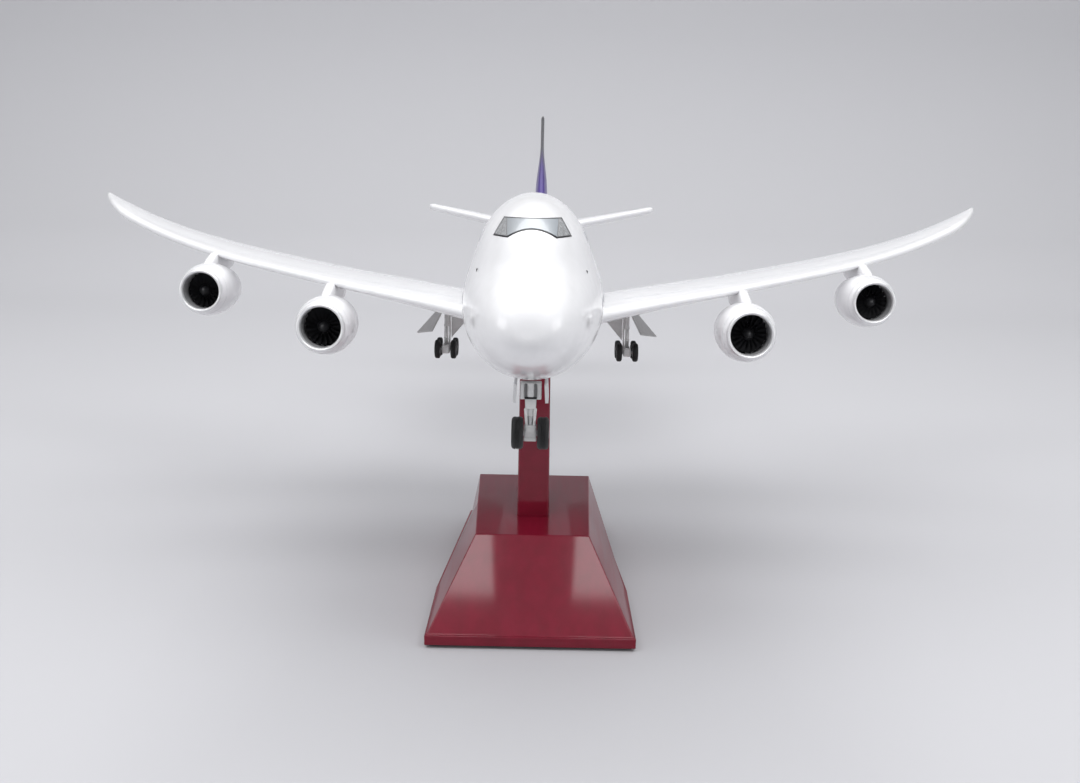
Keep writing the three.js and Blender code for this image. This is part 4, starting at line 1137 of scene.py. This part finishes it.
def make_wheels():
    wheel = tyre(*MAIN_TYRE)
    pair = wheel + wheel.moved(FLIP_X) + rod((-2.6, 0, 0), (2.6, 0, 0), 0.55, 1)
    for side, sign in SIDES:
        for gear in ("wing", "body"):
            for row in ("front", "rear"):
                centre = TO_AIRCRAFT @ JOINT_AT[f"{gear}_wheels_spin_{side}_{row}"]
                stand_in(f"{gear}_wheels_{side}_{row}", pair, [RUBBER, HUB], placed(centre), sharp=30)
        centre = TO_AIRCRAFT @ JOINT_AT[f"nose_wheel_spin_{side}"]
        axle = Vector((0, centre.y, centre.z))
        stand_in(f"nose_wheel_{side}", tyre(*NOSE_TYRE).sided(sign), [RUBBER, HUB], placed(axle), sharp=30)


MAIN_GEARS = {"wing": 4.25, "body": 2.6}    # height of each leg's top, in metres of aircraft


def main_leg(drop, inboard):
    """A leg about its bogie's middle: an outer cylinder, a bright piston, links, braces and a bogie beam."""
    shoulder, half = drop - 1.2, 4.8
    joint = shoulder * 0.42
    knee, slant = joint * 0.5, shoulder * 0.78
    parts = [
        rod((0, 0, 0.6), (0, 0, joint + 1), 0.72, 1),
        rod((0, 0, joint), (0, 0, shoulder), 1.0),
        rod((0, 0, joint - 0.3), (0, 0, joint + 0.7), 1.2),
        rod((0, 0, slant), (0, 0, slant + 0.7), 1.2),
        rod((inboard * 1.45, -0.2, joint * 0.7), (inboard * 1.35, -0.2, shoulder), 0.42),
        rod((inboard * 1.2, -0.3, 1.0), (inboard * 1.45, -0.2, joint * 0.75), 0.34),
        block((2.2, 2 * half + 2.4, 2.2), corner=0.5),
        rod((-1.7, 0, 0), (1.7, 0, 0), 1.35),
        rod((-0.9, -2.7, knee), (0.9, -2.7, knee), 0.32),
    ]
    for sign in (1, -1):
        parts += [
            block((3.3, 2.9, 3.6), (0, sign * half, 0), corner=0.6),
            rod((sign * 0.55, -1.2, 1.1), (sign * 0.55, -2.7, knee), 0.3),
            rod((sign * 0.55, -2.7, knee), (sign * 0.55, -1.0, joint), 0.3),
        ]
    return together(parts)


def midway(first, second):
    """The point of the aircraft halfway between two joints."""
    return (TO_AIRCRAFT @ JOINT_AT[first] + TO_AIRCRAFT @ JOINT_AT[second]) / 2


def make_main_gear():
    for gear, top in MAIN_GEARS.items():
        for side, sign in SIDES:
            bogie = midway(*(f"{gear}_wheels_spin_{side}_{row}" for row in ("front", "rear")))
            leg = main_leg((top - SEAT.height) * SCALE - bogie.z, -sign)
            stand_in(f"{gear}_gear_leg_{side}", leg, [GEAR_SILVER, GEAR_CHROME], placed(bogie))


# node, corners, thickness, columns, rows, bulge, finishes of the outer and inner faces, and the inner finish
DOORS = [
    ("wing_gear_door", [(39.7, 38, 8.6), (38.1, 16, 7.3), (42.6, 16, -1.5), (51.2, 38, -4.4)],
     0.55, 12, 12, 0.0, (1, 0), DOOR_INNER),
    ("inboard_gear_door", [(36.3, 35.7, 12.3), (21.2, 35.7, 12.3), (21.2, 35.7, 11.8), (36.3, 35.7, -6.0)],
     0.6, 12, 12, 0.4, (1, 1), WEB_GREY),
    ("body_gear_door", [(17.4, 40, 0.3), (17.4, 60, 0.3), (19.2, 59, -8), (19.2, 41, -8)],
     0.6, 10, 8, -0.5, (1, 0), DOOR_INNER),
    ("nose_gear_door", [(3.8, -160.8, 3.3), (3.95, -148.2, 3.3), (4.2, -148.2, -1.2), (4.05, -160.8, -1.2)],
     0.8, 8, 6, 0.0, (0, 0), DOOR_INNER),
]


def make_doors():
    for side, sign in SIDES:
        for node, *form, inner in DOORS:
            stand_in(f"{node}_{side}", panel(*form).sided(sign), [DOOR_OUTER, inner])


def make_nose_gear():
    centre = midway("nose_wheel_spin_port", "nose_wheel_spin_starboard")
    top = -centre.z
    parts = [
        block((5.4, 4.3, 4.2), (0, 0.1, top + 1.1)),
        block((1.5, 0.9, 3.4), (0, -2.3, top + 1.4), corner=0.25),
        rod((-1.5, -2.15, top - 0.6), (1.5, -2.15, top - 0.6), 0.32, 2, 16),
        rod((0, 0, 1.0), (0, 0, top * 0.55), 0.85, 1),
        rod((0, 0, top * 0.45), (0, 0, top + 3), 1.15),
        panel([
            (-1.4, -1.3, top - 0.8), (1.4, -1.3, top - 0.8), (1.3, -1.45, top - 3.4), (-1.3, -1.45, top - 3.4),
        ], 0.9, 4, 4, finishes=(0, 0)),
        block((3.2, 3.0, 4.1), (0, -0.1, 0.15), corner=0.4),
        block((2.5, 0.5, 1.2), (0, -1.62, 1.1), corner=0.2),
        block((3.3, 0.7, 1.0), (0, -1.4, -1.35), corner=0.25),
    ]
    for sign in (-1, 1):
        parts += [
            block((0.7, 0.8, 3.9), (sign * 1.25, -1.85, top + 1.1), corner=0.2, finish=3),
            block((0.8, 0.8, 4.0), (sign * 2.25, -2.2, top + 1.1), corner=0.2),
            rod((sign * 1.25, -1.3, 6.6), (sign * 0.95, -1.35, 2.1), 0.36),
            # Dark grey braces behind the leg: painted shade, darker than the silver leg where shade falls behind
            # it.
            rod((sign * 1.2, 1.0, top - 0.6), (sign * 0.8, 0.9, 2.4), 0.36, 3),
        ]
    place = placed(centre)
    stand_in("nose_gear_leg", together(parts), [GEAR_SILVER, GEAR_CHROME, PRINT_DARK, PROBE_GREY_AND_PAINTED_SHADE], place)
    axle = rod((-4.6, 0, 0), (4.6, 0, 0), 0.7) + together(
        rod((sign * 4.35, 0, 0), (sign * 4.8, 0, 0), 1.4, chamfer=0.15) for _, sign in SIDES)
    stand_in("nose_axle", axle, [STEEL], place)


# ---------------- stand
BASE = Sizes(
    front=-61, back=61, kink=-21, half_front=38.7, half_kink=38.1, half_back=30, felt=1,
    plinth=5, ledge=0.8, top=33.5, top_front=-33.4, top_back=33, top_half_front=21.7,
    top_half_back=23.9, felt_inset=1.5, bevel=0.0015,
)
POST = Sizes(foot=(12.6, 30), head=(11.6, 27), corner=1.2, head_height=1.98)
PIN = Sizes(radius=2.5, above=14, below=11.7, clearance=0.3)
SCREW = Sizes(shank=1.6, head=4.5, level=4.5, top=51.5)
SOCKET = Sizes(radius=6.0, mouth=1.2, bore_top=14.3, top=17)
UPRIGHT = Matrix.Identity(4)


def both_sides(half, z):
    return [Vector((x, y, z)) for x, y in half] + [Vector((-x, y, z)) for x, y in reversed(half)]


def base_plan(inset, z):
    return both_sides([
        (BASE.half_front - inset, BASE.front + inset), (BASE.half_kink - inset, BASE.kink),
        (BASE.half_back - inset, BASE.back - inset),
    ], z)


def base_top(z):
    front, back = (BASE.top_half_front, BASE.top_front), (BASE.top_half_back, BASE.top_back)
    return both_sides([front, ((front[0] + back[0]) / 2, (front[1] + back[1]) / 2), back], z)


def make_base():
    rings = [base_plan(0, BASE.felt + 0.05), base_plan(0, BASE.plinth),
             base_plan(BASE.ledge, BASE.plinth), base_top(BASE.top)]
    shape = skin(rings)
    count = len(rings[0])
    shape.faces += [list(range(count)), list(range(3 * count, 4 * count))]
    shape.finishes += [0, 0]
    base = stand_in("stand_base", shape, [LACQUER], UPRIGHT, sharp=60)
    bevel = base.modifiers.new("eased_edges", "BEVEL")
    bevel.width, bevel.segments, bevel.limit_method, bevel.angle_limit = BASE.bevel, 5, "ANGLE", radians(12)
    bevel.harden_normals = True


def belly_level(y):
    """Height of the belly's flat over the post."""
    local = (POST.head_height - SEAT.height) * SCALE - PIN.clearance
    return SEAT.z + local / cos(NOSE_UP) - y * tan(NOSE_UP)


def make_post():
    foot, head = BASE.top + 0.1, SEAT.z
    rings = []
    for t in (0, 0.02, 0.5, 1):
        width, depth = (lerp(a, b, t) for a, b in zip(POST.foot, POST.head))
        outline = rounded_rectangle(width, depth, POST.corner, 8)
        rings.append([p + Vector((0, 0, lerp(foot, head, t))) for p in outline])
    for point in rings[-1]:
        point.z = belly_level(point.y)
    eased = [Vector((p.x * 0.96, p.y * 0.985, p.z)) for p in rings[-1]]
    for point in rings[-1]:
        point.z -= 0.35
    stand_in("stand_post", closed_skin([*rings, eased]), [LACQUER], UPRIGHT, sharp=50)


def make_fixings():
    radius, below, above = PIN.radius, PIN.below, PIN.above
    pin = turned([(0, -below), (radius - 0.4, -below), (radius, -below + 0.5), (radius, above - 1.1),
                  (radius - 0.4, above - 0.3), (radius - 1, above), (0, above)])
    stand_in("mount_pin", pin.moved(Y_TO_Z), [STEEL])
    outer, inner, mouth = SOCKET.radius, radius + PIN.clearance, SOCKET.mouth
    bore_top, top = SOCKET.bore_top, SOCKET.top
    socket = turned([(inner, mouth), (outer, mouth), (outer, top - 0.4), (outer - 0.4, top), (0, top),
                     (0, bore_top), (inner, bore_top)])
    stand_in("pin_socket", socket.moved(Y_TO_Z), [WHITE])
    shank, head, level = SCREW.shank, SCREW.head, SCREW.level
    profile = [(0, level + 1.2), (1.6, level + 1.2), (1.9, level), (head - 0.3, level), (head, level + 0.3),
               (head, level + 2.2), (shank, level + 3), (shank, level + 22)]
    for y in (level + 22.5 + k * 1.5 for k in range(14)):
        profile += [(shank - 0.45, y), (shank, y + 0.55), (shank, y + 0.75), (shank - 0.45, y + 1.3)]
    profile += [(shank - 0.5, SCREW.top - 2), (0, SCREW.top)]
    stand_in("post_screw", turned(profile, 32).moved(Y_TO_Z), [STEEL], UPRIGHT, sharp=30)


def make_felt():
    inset, thick = BASE.felt_inset, BASE.felt
    rings = [base_plan(inset + 0.2, 0.0), base_plan(inset, 0.15), base_plan(inset, thick - 0.1),
             base_plan(inset + 0.15, thick)]
    felt = stand_in("base_felt", closed_skin(rings), [FELT], UPRIGHT)


# ---------------- the whole scene
for make in (
    make_camera, make_stage, make_lights, make_fuselage, make_hull_marks, make_glazing, make_wings, make_tail,
    make_fairing, make_engines, make_wheels, make_main_gear, make_doors, make_nose_gear, make_base, make_post,
    make_fixings, make_felt,
):
    make()
